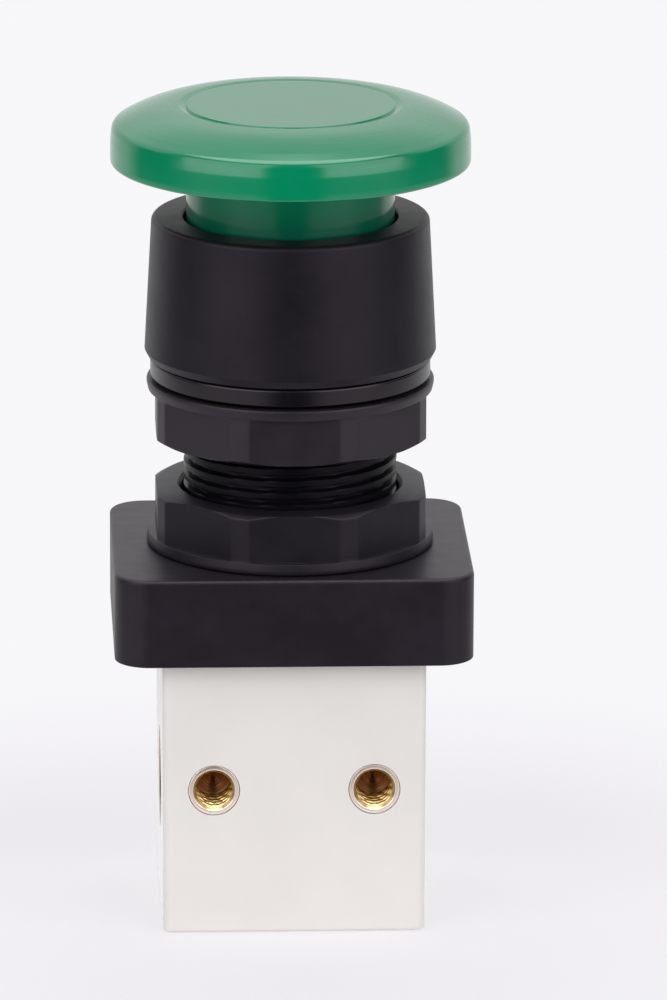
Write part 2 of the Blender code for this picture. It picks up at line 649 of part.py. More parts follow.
def make_bezel(surface, rubber):
    """Tapered sleeve: screwed on the stem's collar, with a lip and a wiper round the neck."""
    wiper_r = BEZEL_HOLE_R + WIPER_SECTION_R + SEAT / 3
    groove_half = WIPER_SECTION_R + RING_PLAY
    groove_r = wiper_r + WIPER_SECTION_R + RING_PLAY
    wiper_height = BEZEL_TOP - WIPER_DROP
    profile = [(CAVITY_R, BEZEL_FOOT), (CAVITY_R, LIP_FOOT), (BEZEL_HOLE_R, LIP_FOOT),
               (BEZEL_HOLE_R, wiper_height - groove_half), (groove_r, wiper_height - groove_half),
               (groove_r, wiper_height + groove_half), (BEZEL_HOLE_R, wiper_height + groove_half)]
    profile += arc(BEZEL_HOLE_R + BEZEL_MOUTH_R, BEZEL_TOP - BEZEL_MOUTH_R, BEZEL_MOUTH_R, 180, 90, 2)
    profile += arc(BEZEL_SHOULDER_R - BEZEL_TOP_R, BEZEL_TOP - BEZEL_TOP_R, BEZEL_TOP_R, 90, 0)
    profile += [(BEZEL_FOOT_R, BEZEL_FOOT + BEZEL_CHAMFER),
                (BEZEL_FOOT_R - BEZEL_CHAMFER_REACH, BEZEL_FOOT)]
    add_object("bezel", lathe_mesh("bezel", profile, LARGE_ROUND, ring=True), surface)
    seal_ring("neck_wiper", wiper_r, WIPER_SECTION_R, rubber, None, wiper_height)


def make_mushroom_head(surface, group, rest):
    """Button cap: flat disc inside a fine groove, sloping crown, deep rim and hollow neck."""
    outer_groove_r = DISC_R + GROOVE_WIDTH
    wall_top_r = HEAD_R - RIM_DRAFT
    crown_end_r = wall_top_r - RIM_TOP_R
    profile = [(0, HEAD_TOP), (DISC_R, HEAD_TOP),
               (DISC_R + GROOVE_WIDTH / 2, HEAD_TOP - GROOVE_DEPTH), (outer_groove_r, HEAD_TOP)]
    for i in range(1, ARC_STEPS + 1):
        share = i / (ARC_STEPS + 1)
        bulge = 4 * CROWN_BULGE * share * (1 - share)
        radius = outer_groove_r + (crown_end_r - outer_groove_r) * share
        profile.append((radius, HEAD_TOP - CROWN_RISE * share + bulge))
    profile += arc(wall_top_r - RIM_TOP_R, CROWN_EDGE - RIM_TOP_R, RIM_TOP_R, 80, 0)
    profile += arc(HEAD_R - RIM_FOOT_R, HEAD_FOOT + RIM_FOOT_R, RIM_FOOT_R, 0, -90, 2)
    inner_rim_r = HEAD_R - RIM_WALL
    ceiling = CROWN_EDGE - CROWN_WALL
    inner_ceiling = HEAD_TOP - CROWN_WALL
    profile += [(inner_rim_r, HEAD_FOOT), (inner_rim_r - RIM_DRAFT, ceiling)]
    neck_foot = FLANGE_TOP + SEAT
    profile += arc(NECK_R + NECK_FILLET_R, inner_ceiling - NECK_FILLET_R, NECK_FILLET_R, 90, 180, 2)
    profile += [(NECK_R, neck_foot), (NECK_BORE_R, neck_foot), (NECK_BORE_R, inner_ceiling),
                (0, inner_ceiling)]
    profile = [(r, z - rest) for r, z in profile]
    return add_object("mushroom_head", lathe_mesh("mushroom_head", profile, LARGE_ROUND), surface, group)


def make_carrier(surface, group, rest):
    """Carrier under the cap: cup in the neck, stop flange, guide disc and push rod."""
    cup_r = NECK_BORE_R - RUN
    cup_top = FLANGE_TOP + CARRIER_CUP_HEIGHT
    web_top = FLANGE_FOOT + CARRIER_WEB
    disc_r = STEM_BORE_R - RUN
    profile = [(0, web_top), (cup_r - CARRIER_WALL, web_top), (cup_r - CARRIER_WALL, cup_top),
               (cup_r, cup_top), (cup_r, FLANGE_TOP), (CAVITY_R - CARRIER_FLANGE_PLAY, FLANGE_TOP),
               (CAVITY_R - CARRIER_FLANGE_PLAY, FLANGE_FOOT), (CARRIER_COLUMN_R, FLANGE_FOOT),
               (CARRIER_COLUMN_R, DISC_FOOT + CARRIER_DISC_HEIGHT),
               (disc_r, DISC_FOOT + CARRIER_DISC_HEIGHT), (disc_r, DISC_FOOT), (ROD_R, DISC_FOOT),
               (ROD_R, ROD_FOOT + ROD_CHAMFER), (ROD_R - ROD_CHAMFER, ROD_FOOT), (0, ROD_FOOT)]
    profile = [(r, z - rest) for r, z in profile]
    return add_object("button_carrier", lathe_mesh("button_carrier", profile, SMALL_ROUND), surface, group)


def make_springs(steel):
    """Button spring in the stem and valve spring in the spool."""
    seat = STEM_FOOT + STEM_FLOOR + SEAT
    coil_r = STEM_BORE_R - BUTTON_SPRING_PLAY - BUTTON_WIRE_R
    coil_spring("button_spring", coil_r, BUTTON_WIRE_R, seat, DISC_FOOT - SEAT - seat,
                BUTTON_SPRING_TURNS, steel)
    coil_spring("valve_spring", SPOOL_POCKET_R - RUN - VALVE_WIRE_R, VALVE_WIRE_R, VALVE_SPRING_SEAT,
                VALVE_SPRING_LENGTH, VALVE_SPRING_TURNS, steel)


def group_at(name, height):
    """Empty on the button's axis that carries pieces which move together."""
    group = bpy.data.objects.new(name, None)
    bpy.context.scene.collection.objects.link(group)
    group.location = (0, 0, height * MM)
    return group


def main():
    for old in list(bpy.data.objects):
        bpy.data.objects.remove(old)

    green = material("green_button", (0.0, 0.235, 0.102), 0.25)
    black = material("black_plastic", (0.023, 0.02, 0.025), 0.5)
    rubber = material("black_rubber", (0.018, 0.018, 0.02), 0.7)
    white = material("white_block", (0.78, 0.75, 0.71), 0.45)
    brass = material("brass", (0.75, 0.52, 0.2), 0.25, 1.0)
    steel = material("spring_steel", (0.55, 0.55, 0.56), 0.35, 1.0)
    alloy = material("spool_alloy", (0.7, 0.7, 0.72), 0.3, 1.0)

    make_valve_block(white)
    make_inserts(brass)
    make_end_plug(brass, rubber)
    make_adapter_plate(black)
    make_plate_screws(steel)
    make_stem(black)
    make_nuts(black)
    make_gasket(rubber)
    make_bezel(black, rubber)
    make_springs(steel)

    spool_group = group_at("spool_group", TAPPET_TOP)
    make_spool(alloy, rubber, spool_group, TAPPET_TOP)
    button_group = group_at("button_group", HEAD_FOOT)
    make_mushroom_head(green, button_group, HEAD_FOOT)
    make_carrier(black, button_group, HEAD_FOOT)


main()
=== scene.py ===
# %% [markdown]
# # A mushroom push button valve
# The object is a small manual air valve. A green mushroom button slides in a black operator,
# two flanged nuts sit on the operator's thread and clamp a panel between them and the bezel,
# and a white block below holds the spool, the brass ports and the mounting inserts.
#
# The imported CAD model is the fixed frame. This script never moves it: it builds a fine
# surface over each solid, gives it a finish, and lights it as in a small studio.

# %% Load the fixed frame
import math

import bmesh
import bpy
import numpy as np
from mathutils import Matrix, Vector


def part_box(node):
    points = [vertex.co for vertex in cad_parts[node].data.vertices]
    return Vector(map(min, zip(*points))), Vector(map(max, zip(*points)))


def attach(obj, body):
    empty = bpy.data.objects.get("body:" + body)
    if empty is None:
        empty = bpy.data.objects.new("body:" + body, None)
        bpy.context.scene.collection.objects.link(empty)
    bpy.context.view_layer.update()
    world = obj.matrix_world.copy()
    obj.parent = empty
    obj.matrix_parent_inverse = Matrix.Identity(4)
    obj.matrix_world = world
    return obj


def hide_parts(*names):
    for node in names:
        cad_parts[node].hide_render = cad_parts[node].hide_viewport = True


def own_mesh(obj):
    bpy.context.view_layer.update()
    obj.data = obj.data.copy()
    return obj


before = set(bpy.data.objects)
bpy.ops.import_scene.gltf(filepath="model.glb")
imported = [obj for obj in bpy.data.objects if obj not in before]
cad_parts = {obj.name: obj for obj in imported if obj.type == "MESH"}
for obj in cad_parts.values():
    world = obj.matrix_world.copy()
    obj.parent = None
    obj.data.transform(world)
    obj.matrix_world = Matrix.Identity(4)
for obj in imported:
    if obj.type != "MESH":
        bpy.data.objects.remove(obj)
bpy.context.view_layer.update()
MM = 0.001

# %% [markdown]
# ## Sizes come from the frame
# Each piece must stay where its solid is, so its height and its width are read from the
# solid's box. Only what a box can't tell, such as a rounding or a wall, is written here.
# Sizes in this script are millimetres and turn into metres where a mesh is made.

# %% Read a solid's extent


def extent(node, axis):
    """Lowest and highest coordinate of a solid along X (0), Y (1) or Z (2), in millimetres."""
    low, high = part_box(node)
    return low[axis] / MM, high[axis] / MM


def heights(node):
    return extent(node, 2)


def outer_radius(node):
    return extent(node, 0)[1]


total_height = heights("mushroom_head")[1]
print(f"height {total_height:.1f} mm, head {2 * outer_radius('mushroom_head'):.1f} mm across")

# %% [markdown]
# ## One way to skin every piece
# Most pieces were turned or moulded round an axis. A lathe, a loft and a screw thread are
# all the same thing for a mesh: a stack of loops with equally many points, joined by quads.
# So one helper covers a stack of loops, and the other helpers only say where its points lie.
# A stack that ends where it began is a ring, such as a nut. Any other gets a flat cap at
# each end. Weighted normals keep the flats flat beside the small roundings.

# %% Skin a stack of loops
CREASE = math.radians(38)


def shade(piece):
    """Smooth shading that keeps real edges and doesn't darken the flats beside them."""
    piece.data.shade_smooth()
    piece.data.set_sharp_from_angle(angle=CREASE)
    weighted = piece.modifiers.new("weighted_normals", "WEIGHTED_NORMAL")
    weighted.keep_sharp = True
    return piece


def skin(name, loops, ring=True):
    """Cover a stack of loops, given in millimetres, with quads that face outwards."""
    loops = np.asarray(loops, float)
    count, around = loops.shape[:2]
    index = np.arange(count * around).reshape(count, around)
    faces = []
    for i in range(count if ring else count - 1):
        low, high = index[i], index[(i + 1) % count]
        faces += np.stack((low, np.roll(low, -1), np.roll(high, -1), high), 1).tolist()
    if not ring:
        faces += [index[0][::-1].tolist(), index[-1].tolist()]
    mesh = bpy.data.meshes.new(name)
    mesh.from_pydata((loops.reshape(-1, 3) * MM).tolist(), [], faces)
    shape = bmesh.new()
    shape.from_mesh(mesh)
    bmesh.ops.recalc_face_normals(shape, faces=shape.faces)
    shape.to_mesh(mesh)
    shape.free()
    piece = bpy.data.objects.new(name, mesh)
    bpy.context.scene.collection.objects.link(piece)
    return shade(piece)


# %% [markdown]
# ## Turned pieces
# A lathe needs only the outline of one half. A real edge is never perfectly sharp, and its
# small rounding is what catches the light, so an outline is written as corners, each with
# the radius of its rounding, and a helper turns every corner into a short arc.

# %% Round the corners of an outline, and turn it
ROUND = 160
FINE_EDGE = 0.12


def soften(corners, ring=True, steps=4):
    """Points of an outline whose corners are (radius, height, rounding)."""
    points = []
    for i, (radius, height, rounding) in enumerate(corners):
        here = np.array((radius, height), float)
        at_end = not ring and i in (0, len(corners) - 1)
        if rounding == 0 or at_end:
            points.append(here)
            continue
        back = np.array(corners[i - 1][:2], float) - here
        ahead = np.array(corners[(i + 1) % len(corners)][:2], float) - here
        back_length, ahead_length = np.linalg.norm(back), np.linalg.norm(ahead)
        back, ahead = back / back_length, ahead / ahead_length
        half = math.acos(float(np.clip(back @ ahead, -1, 1))) / 2
        reach = min(rounding / math.tan(half), 0.48 * back_length, 0.48 * ahead_length)
        middle = (back + ahead) / np.linalg.norm(back + ahead)
        centre = here + middle * reach / math.cos(half)
        start, end = here + back * reach - centre, here + ahead * reach - centre
        sweep = math.pi - 2 * half
        for step in range(steps + 1):
            share = step / steps
            blend = math.sin((1 - share) * sweep) * start + math.sin(share * sweep) * end
            points.append(centre + blend / math.sin(sweep))
    return points


def circle_loop(radius, height, around=ROUND):
    """One level loop of points, at a radius that may change with the angle."""
    angles = np.arange(around) * 2 * math.pi / around
    radii = np.broadcast_to(radius, around)
    levels = np.broadcast_to(height, around)
    return np.stack((radii * np.cos(angles), radii * np.sin(angles), levels), 1)


def turned(name, corners, ring=True, around=ROUND, steps=4):
    """A lathe piece. A ring's outline closes on itself, any other ends in flat caps."""
    return skin(name, [circle_loop(r, z, around) for r, z in soften(corners, ring, steps)], ring)


def aim(piece, turn, at):
    """Turn a piece that was made along Z, in degrees about X or Y, and carry it to its place."""
    axis, degrees = turn
    matrix = Matrix.Translation(Vector(at) * MM) @ Matrix.Rotation(math.radians(degrees), 4, axis)
    piece.data.transform(matrix)
    return piece


def carry(piece, at):
    """Carry an upright piece to its place."""
    return aim(piece, ("Z", 0), at)


# %% [markdown]
# ## Screw threads
# The operator's thread and the brass inserts are cut by a tool that climbs one pitch for
# each turn. The radius at any point depends only on how far its height is from the helix,
# so the loops stay level and the groove climbs through them. The groove's half width and
# the width of its flank are shares of the pitch.

# %% Loops of a thread
GROOVE_HALF_PITCH = 0.28
GROOVE_FLANK_PITCH = 0.17


def thread_loops(foot, top, crest, root, pitch, around=ROUND, per_pitch=14, run_out=0.5):
    """Level loops whose radius dips from the crest to the root along a right-hand helix."""
    count = max(int(abs(top - foot) / pitch * per_pitch), 4)
    turn = np.arange(around) / around
    loops = []
    for height in np.linspace(foot, top, count):
        from_groove = np.abs((height / pitch - turn) % 1.0 - 0.5)
        share = np.clip((GROOVE_HALF_PITCH - from_groove) / GROOVE_FLANK_PITCH, 0, 1)
        depth = share * share * (3 - 2 * share)
        fade = min(abs(height - foot), abs(top - height), run_out) / run_out
        loops.append(circle_loop(crest + (root - crest) * depth * fade, height, around))
    return loops


# %% [markdown]
# ## Nodes for a finish
# A finish that is one flat colour looks like a toy. Real surfaces vary a little in colour,
# in gloss and in height, and each of these can be a noise in the object's own space, at its
# real size in millimetres. The helpers below each add one node or two: a noise, a blend of
# two colours, a share that rises from a start to an end, and a bump.

# %% Small helpers that add nodes


def new_finish(name):
    """A new material with its node tree and its shader."""
    finish = bpy.data.materials.new(name)
    finish.use_nodes = True
    return finish, finish.node_tree, finish.node_tree.nodes["Principled BSDF"]


def feed(tree, node, inputs):
    """Feed a node's inputs, each with the output of another node or with plain numbers."""
    for key, value in inputs.items():
        socket = node.inputs[key]
        if isinstance(value, bpy.types.NodeSocket):
            tree.links.new(value, socket)
        else:
            socket.default_value = (*value, 1) if socket.type == "RGBA" else value
    return node


def add(tree, kind, inputs):
    """Add a node of a kind and feed it."""
    return feed(tree, tree.nodes.new(kind), inputs)


def noise(tree, size_mm, detail=3.0, stretch=(1, 1, 1)):
    """Noise in object space with features of about that size."""
    place = tree.nodes.new("ShaderNodeTexCoord").outputs["Object"]
    place = add(tree, "ShaderNodeMapping", {"Vector": place, "Scale": stretch}).outputs["Vector"]
    inputs = {"Vector": place, "Scale": 1 / (size_mm * MM), "Detail": detail}
    return add(tree, "ShaderNodeTexNoise", inputs).outputs["Fac"]


def ramp(tree, factor, stops):
    """Blend through a row of colours, each at its own position along the factor."""
    blend = add(tree, "ShaderNodeValToRGB", {"Fac": factor})
    elements = blend.color_ramp.elements
    while len(elements) < len(stops):
        elements.new(1.0)
    for element, (position, colour) in zip(elements, stops):
        element.position = position
        element.color = (*colour, 1)
    return blend.outputs["Color"]


def vary(tree, factor, low, high):
    """Blend between two colours, or two greys for a roughness, over the middle of a noise."""
    return ramp(tree, factor, ((0.35, low), (0.65, high)))


def mix_colour(tree, share, low, high):
    """Blend of two colours, each an output or plain numbers."""
    blend = tree.nodes.new("ShaderNodeMix")
    blend.data_type = "RGBA"
    return feed(tree, blend, {0: share, 6: low, 7: high}).outputs[2]


def rising(tree, value, start, end):
    """Share that rises from 0 at the start to 1 at the end."""
    step = tree.nodes.new("ShaderNodeMapRange")
    step.interpolation_type = "SMOOTHSTEP"
    return feed(tree, step, {"Value": value, "From Min": start, "From Max": end}).outputs[0]


def along(tree, axis, start_mm, end_mm):
    """Share that rises along one axis of the object's own space."""
    place = tree.nodes.new("ShaderNodeTexCoord").outputs["Object"]
    place = add(tree, "ShaderNodeSeparateXYZ", {0: place}).outputs[axis]
    return rising(tree, place, start_mm * MM, end_mm * MM)


def bump(tree, height, depth_mm, below=None):
    """Normal of a surface that a noise raises, on its own or above an earlier bump."""
    relief = add(tree, "ShaderNodeBump", {"Height": height, "Distance": depth_mm * MM, "Strength": 1.0})
    if below:
        feed(tree, relief, {"Normal": below})
    return relief.outputs["Normal"]


# %% [markdown]
# ## Moulded plastic and rubber
# Moulded plastic has a faint mottling from the flow of the melt and a fine grain from the
# spark-eroded mould. So the mottle goes on the colour and on the gloss, and the grain is a
# bump. Values that are the same all over are set on the shader itself.

# %% A moulded finish


def moulded(name, colour, roughness, mottle, grain_mm, grain_depth, specular, flow_mm=7.0,
            tint=(1, 1, 1), foot=None):
    """Moulded plastic or rubber: a mottled colour, an uneven gloss and a fine grain."""
    finish, tree, shader = new_finish(name)
    dark = [value * (1 - mottle) for value in colour]
    light = [value * (1 + mottle) for value in colour]
    base = vary(tree, noise(tree, flow_mm), dark, light)
    # Painted shade: a foot colour replaces the base below a height and fades out above it.
    if foot:
        painted_shade_colour, start_mm, end_mm = foot
        base = mix_colour(tree, along(tree, "Z", start_mm, end_mm), painted_shade_colour, base)
    rough = vary(tree, noise(tree, flow_mm / 4), [roughness * 0.96] * 3, [roughness * 1.04] * 3)
    waviness = bump(tree, noise(tree, flow_mm / 2, 1.0), grain_depth * 2)
    normal = bump(tree, noise(tree, grain_mm, 2.0), grain_depth, waviness)
    feed(tree, shader, {"Base Color": base, "Roughness": rough, "Normal": normal,
                        "Specular IOR Level": specular, "Specular Tint": tint})
    print("finish", name)
    return finish


# %% [markdown]
# ## The plastics of the valve
# The cap's green is glossy and nearly even. Its neck stands in the cap's own shade, and that
# shade is painted into its colour: a darker, bluer green that changes with the height between
# the bezel and the rim. The blacks look alike, but the plate and the sleeve are the grainiest,
# the panel nut is given the palest black, though it comes from the lock nut's mould, the thread
# is smooth and painted darker for the shade between the nuts, and the gasket is shiny. Their
# sheen is a little purple.

# %% Mix the plastics
CAP_GREEN = (0.0004, 0.265, 0.118)
# Painted shade: the neck is a darker, bluer green below the first height, blending into the cap's green by
# the second, for the cap's shade on it.
NECK_PAINTED_SHADE = (0.001, 0.08, 0.05)
NECK_SHADE_TO = 78.0
CAP_GREEN_FROM = 86.0
BLACK_SHEEN = (1.0, 0.87, 0.99)


def black(name, colour, roughness, mottle, grain_mm, grain_depth, specular):
    """Black plastic or rubber with the sheen that all the blacks share."""
    return moulded(name, colour, roughness, mottle, grain_mm, grain_depth, specular, tint=BLACK_SHEEN)


# Colour, roughness, mottle, size and depth of the grain in millimetres, and strength of the sheen.
green_gloss = moulded("green_gloss", CAP_GREEN, 0.16, 0.03, 0.9, 0.001, 0.5, flow_mm=14.0,
                      foot=(NECK_PAINTED_SHADE, NECK_SHADE_TO, CAP_GREEN_FROM))
black_grain = black("black_grain", (0.0122, 0.01, 0.0148), 0.42, 0.22, 0.2, 0.012, 0.24)
black_sleeve = black("black_sleeve", (0.0085, 0.0072, 0.0108), 0.42, 0.22, 0.2, 0.012, 0.21)
black_smooth = black("black_smooth", (0.0135, 0.0115, 0.0165), 0.4, 0.14, 0.3, 0.005, 0.17)
# The panel nut is given a paler black with more sheen than the lock nut, though both come from one mould.
black_paler = black("black_paler", (0.0155, 0.013, 0.0175), 0.42, 0.16, 0.25, 0.008, 0.34)
# Painted shade: the thread's black is darker than the others for the shade between the nuts.
shaded_black_thread = black("shaded_black_thread", (0.0045, 0.004, 0.006), 0.32, 0.1, 0.3, 0.002, 0.1)
black_rubber = black("nitrile", (0.003, 0.0028, 0.0035), 0.28, 0.12, 0.2, 0.003, 0.45)
white_block = moulded("white_moulding", (0.85, 0.815, 0.785), 0.2, 0.018, 0.35, 0.002, 0.5, flow_mm=11.0)

# %% [markdown]
# ## Metal finishes
# Brass inserts and the spool are turned on a lathe, so their fine lines run round their own
# axis. Noise that is stretched fifty times along two directions gives such lines. The
# springs are drawn wire: bright, a little uneven, with no direction that can be seen. The
# front inserts change down their hole: a pale face, a countersink in painted shade, bright
# thread, and an end painted brown for the shade where the light hardly reaches. The side
# bushes are painted in the darker brass for the shade in their seats.

# %% Turned and drawn metal
BRASS = (0.86, 0.66, 0.33)
BRASS_DARK = (0.74, 0.5, 0.2)
BRASS_FACE = (0.98, 0.84, 0.74)
# Painted shade: the darker brass of a countersink and of the side bushes in their seats.
BRASS_SHADED = (0.36, 0.27, 0.14)
BRASS_SHADED_DARK = (0.3, 0.22, 0.12)
# Painted shade: the brown deep in a blind hole.
BRASS_HOLE_SHADE = (0.13, 0.052, 0.02)
FACE_DEPTH = (0.03, 0.06)
MOUTH_SHADE_DEPTH = (0.31, 0.41)
HOLE_SHADE_FROM = (4.0, 5.5)


def down_a_hole(tree, metal, face_y):
    """Colour of a hole along +Y: a pale face, painted shade at the mouth, the metal itself and a brown
    painted shade at the end.
    """
    face, mouth, hole_shade = (along(tree, "Y", face_y + start, face_y + end)
                         for start, end in (FACE_DEPTH, MOUTH_SHADE_DEPTH, HOLE_SHADE_FROM))
    # Painted shade: darker brass at the mouth, brown towards the end of the hole.
    metal = mix_colour(tree, mouth, BRASS_SHADED, metal)
    metal = mix_colour(tree, face, BRASS_FACE, metal)
    return mix_colour(tree, hole_shade, metal, BRASS_HOLE_SHADE)


def machined(name, colour, tint, roughness, stretch, line_depth=0.003, face_y=None):
    """Turned metal with fine tool marks across the axis along which the noise isn't stretched."""
    finish, tree, shader = new_finish(name)
    metal = vary(tree, noise(tree, 2.5), tint, colour)
    if face_y is not None:
        metal = down_a_hole(tree, metal, face_y)
    lines = noise(tree, 0.09, 2.0, stretch)
    rough = vary(tree, lines, [roughness * 0.75] * 3, [roughness * 1.25] * 3)
    feed(tree, shader, {"Base Color": metal, "Roughness": rough, "Metallic": 1.0,
                        "Normal": bump(tree, lines, line_depth)})
    print("finish", name)
    return finish


ROUND_X, ROUND_Y, ROUND_Z = (1, 0.02, 0.02), (0.02, 1, 0.02), (0.02, 0.02, 1)
insert_face_y = extent("front_insert_left", 1)[0]
brass_front = machined("brass_front", BRASS, BRASS_DARK, 0.3, ROUND_Y, 0.001, insert_face_y)
# Painted shade: the side bushes take the darker brass for the shade in their seats.
brass_side = machined("brass_side", BRASS_SHADED, BRASS_SHADED_DARK, 0.3, ROUND_X)
brass_plug = machined("brass_plug", BRASS, BRASS_DARK, 0.28, ROUND_Z)
alloy = machined("turned_alloy", (0.78, 0.78, 0.8), (0.66, 0.66, 0.68), 0.3, ROUND_Z)
steel = machined("drawn_steel", (0.62, 0.62, 0.63), (0.5, 0.5, 0.51), 0.3, (1, 1, 1), 0.001)

# %% [markdown]
# ## Settling a piece
# Each fine piece stands for one solid. It gets its finish, rides on the body of that solid,
# and hides the solid, which stays in the scene.

# %% Dress a piece and let it ride


def settle(piece, finish, body, node):
    """Give a piece its finish and its body, and let it stand for a solid."""
    piece.data.materials.clear()
    piece.data.materials.append(finish)
    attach(piece, body)
    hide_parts(node)
    print(f"{piece.name}: {len(piece.data.polygons)} faces, rides on {body}")
    return piece


# %% [markdown]
# ## The mushroom head
# The cap is one glossy green moulding. Its top has a flat disc inside a fine groove, steep
# on its inner side and gentle on its outer side, then a crown that falls away in a shallow
# curve, a short rounded edge and a deep rim. Underneath it is hollow, with a neck that
# slides in the bezel. It is turned: every height on it is a ring. The crown is a parabola
# between two radii, and the rim leans in more the higher it gets.

# %% Turn the cap
HEAD_DISC_R = 11.65
DISC_BORDER = 0.4
HEAD_GROOVE = 0.92
HEAD_GROOVE_DEPTH = 0.2
GROOVE_STEEP_WALL = 0.0736
CROWN_RISE = 2.2
CROWN_BULGE = 0.55
CROWN_SPANS = 10
RIM_HEIGHT = 4.38
RIM_CURVE = (0.66, 0.22)
RIM_EDGE = 1.05
RIM_FOOT_EDGE = 0.5
RIM_WALL = 1.9
RIM_DRAFT = 0.2
CROWN_WALL = 2.0
NECK_R = 11.7
NECK_BORE_R = 9.9
NECK_FILLET = 1.0

neck_foot, head_top = heights("mushroom_head")
head_r = outer_radius("mushroom_head")
crown_edge = head_top - CROWN_RISE
head_foot = crown_edge - RIM_HEIGHT
wall_top_r = head_r - RIM_DRAFT
crown_start = HEAD_DISC_R + HEAD_GROOVE


def crown_corners():
    """The crown from the groove nearly to the rim, as a slope with a slight bulge."""
    corners = []
    for i in range(1, CROWN_SPANS - 1):
        share = i / CROWN_SPANS
        rise = 4 * CROWN_BULGE * share * (1 - share)
        radius = crown_start + (wall_top_r - crown_start) * share
        corners.append((radius, head_top - CROWN_RISE * share + rise, 0.6))
    return corners


ceiling = head_top - CROWN_WALL
cap_corners = [(HEAD_DISC_R - DISC_BORDER, head_top, 0), (HEAD_DISC_R, head_top, 0.05),
               (HEAD_DISC_R + GROOVE_STEEP_WALL, head_top - HEAD_GROOVE_DEPTH, 0.08),
               (crown_start, head_top + 0.02, 0.5)]
cap_corners += crown_corners()
cap_corners.append((wall_top_r, crown_edge, RIM_EDGE))
cap_corners += [(head_r - RIM_DRAFT * share ** 4, head_foot + RIM_HEIGHT * share, 0)
                for share in np.linspace(*RIM_CURVE, 9)]
cap_corners += [(head_r, head_foot, RIM_FOOT_EDGE),
                (head_r - RIM_WALL, head_foot, 0.3),
                (head_r - RIM_WALL - RIM_DRAFT, crown_edge - CROWN_WALL, 0.5),
                (NECK_R + NECK_FILLET, ceiling, 0.3), (NECK_R, ceiling, NECK_FILLET),
                (NECK_R, neck_foot, 0.3), (NECK_BORE_R, neck_foot, 0.3), (NECK_BORE_R, ceiling, 0)]
cap = turned("button_cap", cap_corners, ring=False, around=224, steps=6)
settle(cap, green_gloss, "button", "mushroom_head")

# %% [markdown]
# ## Bezel and gasket
# The bezel is a tapered black sleeve, screwed on the stem's collar. It widens downwards,
# has a small chamfer at its foot and a soft rounding at its top, and its lip keeps the
# button in. The gasket under it is a smoother rubber ring of nearly the same size, so the
# only sign of it is a change of gloss and a fine dark line.

# %% Turn the bezel and the gasket
BEZEL_SHOULDER_R = 15.58
BEZEL_TOP_EDGE = 0.6
BEZEL_HOLE_R = 12.0
BEZEL_CAVITY_R = 13.6
BEZEL_CHAMFER = 0.9
BEZEL_CHAMFER_REACH = 0.49
LIP_LENGTH = 5.0
WIPER_DROP = 3.2
WIPER_GROOVE_HALF = 0.65
WIPER_GROOVE_R = 13.2

bezel_foot, bezel_top = heights("bezel")
bezel_r = outer_radius("bezel")
groove_z = bezel_top - WIPER_DROP
bezel_corners = [
    (BEZEL_CAVITY_R, bezel_foot, 0.2), (BEZEL_CAVITY_R, bezel_top - LIP_LENGTH, 0),
    (BEZEL_HOLE_R, bezel_top - LIP_LENGTH, FINE_EDGE),
    (BEZEL_HOLE_R, groove_z - WIPER_GROOVE_HALF, FINE_EDGE),
    (WIPER_GROOVE_R, groove_z - WIPER_GROOVE_HALF, 0), (WIPER_GROOVE_R, groove_z + WIPER_GROOVE_HALF, 0),
    (BEZEL_HOLE_R, groove_z + WIPER_GROOVE_HALF, FINE_EDGE), (BEZEL_HOLE_R, bezel_top, 0.35),
    (BEZEL_SHOULDER_R, bezel_top, BEZEL_TOP_EDGE), (bezel_r, bezel_foot + BEZEL_CHAMFER, 0.18),
    (bezel_r - BEZEL_CHAMFER_REACH, bezel_foot, FINE_EDGE)]
bezel = turned("bezel_sleeve", bezel_corners, steps=6)
settle(bezel, black_sleeve, "housing", "bezel")

gasket_foot, gasket_top = heights("panel_gasket")
gasket_r = outer_radius("panel_gasket")
gasket = turned("gasket_ring", [(BEZEL_CAVITY_R, gasket_foot, 0.1), (BEZEL_CAVITY_R, gasket_top, 0.1),
                                (gasket_r, gasket_top, 0.3), (gasket_r, gasket_foot, 0.3)])
settle(gasket, black_rubber, "housing", "panel_gasket")

# %% [markdown]
# ## The threaded stem
# A few turns of the operator's fine thread show between the two nuts. They are real grooves
# here, 1.4 mm apart, because light along a crest is what makes a thread look cut, and
# because the upper nut moves down and shows more of them.

# %% Cut the stem's thread
THREAD_R = 12.0
THREAD_ROOT_R = 11.3
THREAD_PITCH = 1.4
STEM_BORE_R = 9.4
STEM_FLOOR = 2.3
ROD_HOLE_R = 4.2
COLLAR_R = 13.3
STEM_CHAMFER = 0.8
STEM_AROUND = 224

stem_foot, stem_top = heights("operator_stem")
stem_outline = soften([(THREAD_R, gasket_foot, 0), (COLLAR_R, gasket_foot, FINE_EDGE),
                       (COLLAR_R, stem_top, 0.2), (STEM_BORE_R, stem_top, 0.2),
                       (STEM_BORE_R, stem_foot + STEM_FLOOR, 0.4), (ROD_HOLE_R, stem_foot + STEM_FLOOR, 0.2),
                       (ROD_HOLE_R, stem_foot, 0.2), (THREAD_R - STEM_CHAMFER, stem_foot, 0.1),
                       (THREAD_R, stem_foot + STEM_CHAMFER, 0)], ring=False)
stem_loops = thread_loops(stem_foot + STEM_CHAMFER + 0.2, gasket_foot - 0.15, THREAD_R, THREAD_ROOT_R,
                          THREAD_PITCH, around=STEM_AROUND, per_pitch=18)
stem_loops += [circle_loop(r, z, STEM_AROUND) for r, z in stem_outline]
stem = skin("threaded_stem", stem_loops)
settle(stem, shaded_black_thread, "housing", "operator_stem")

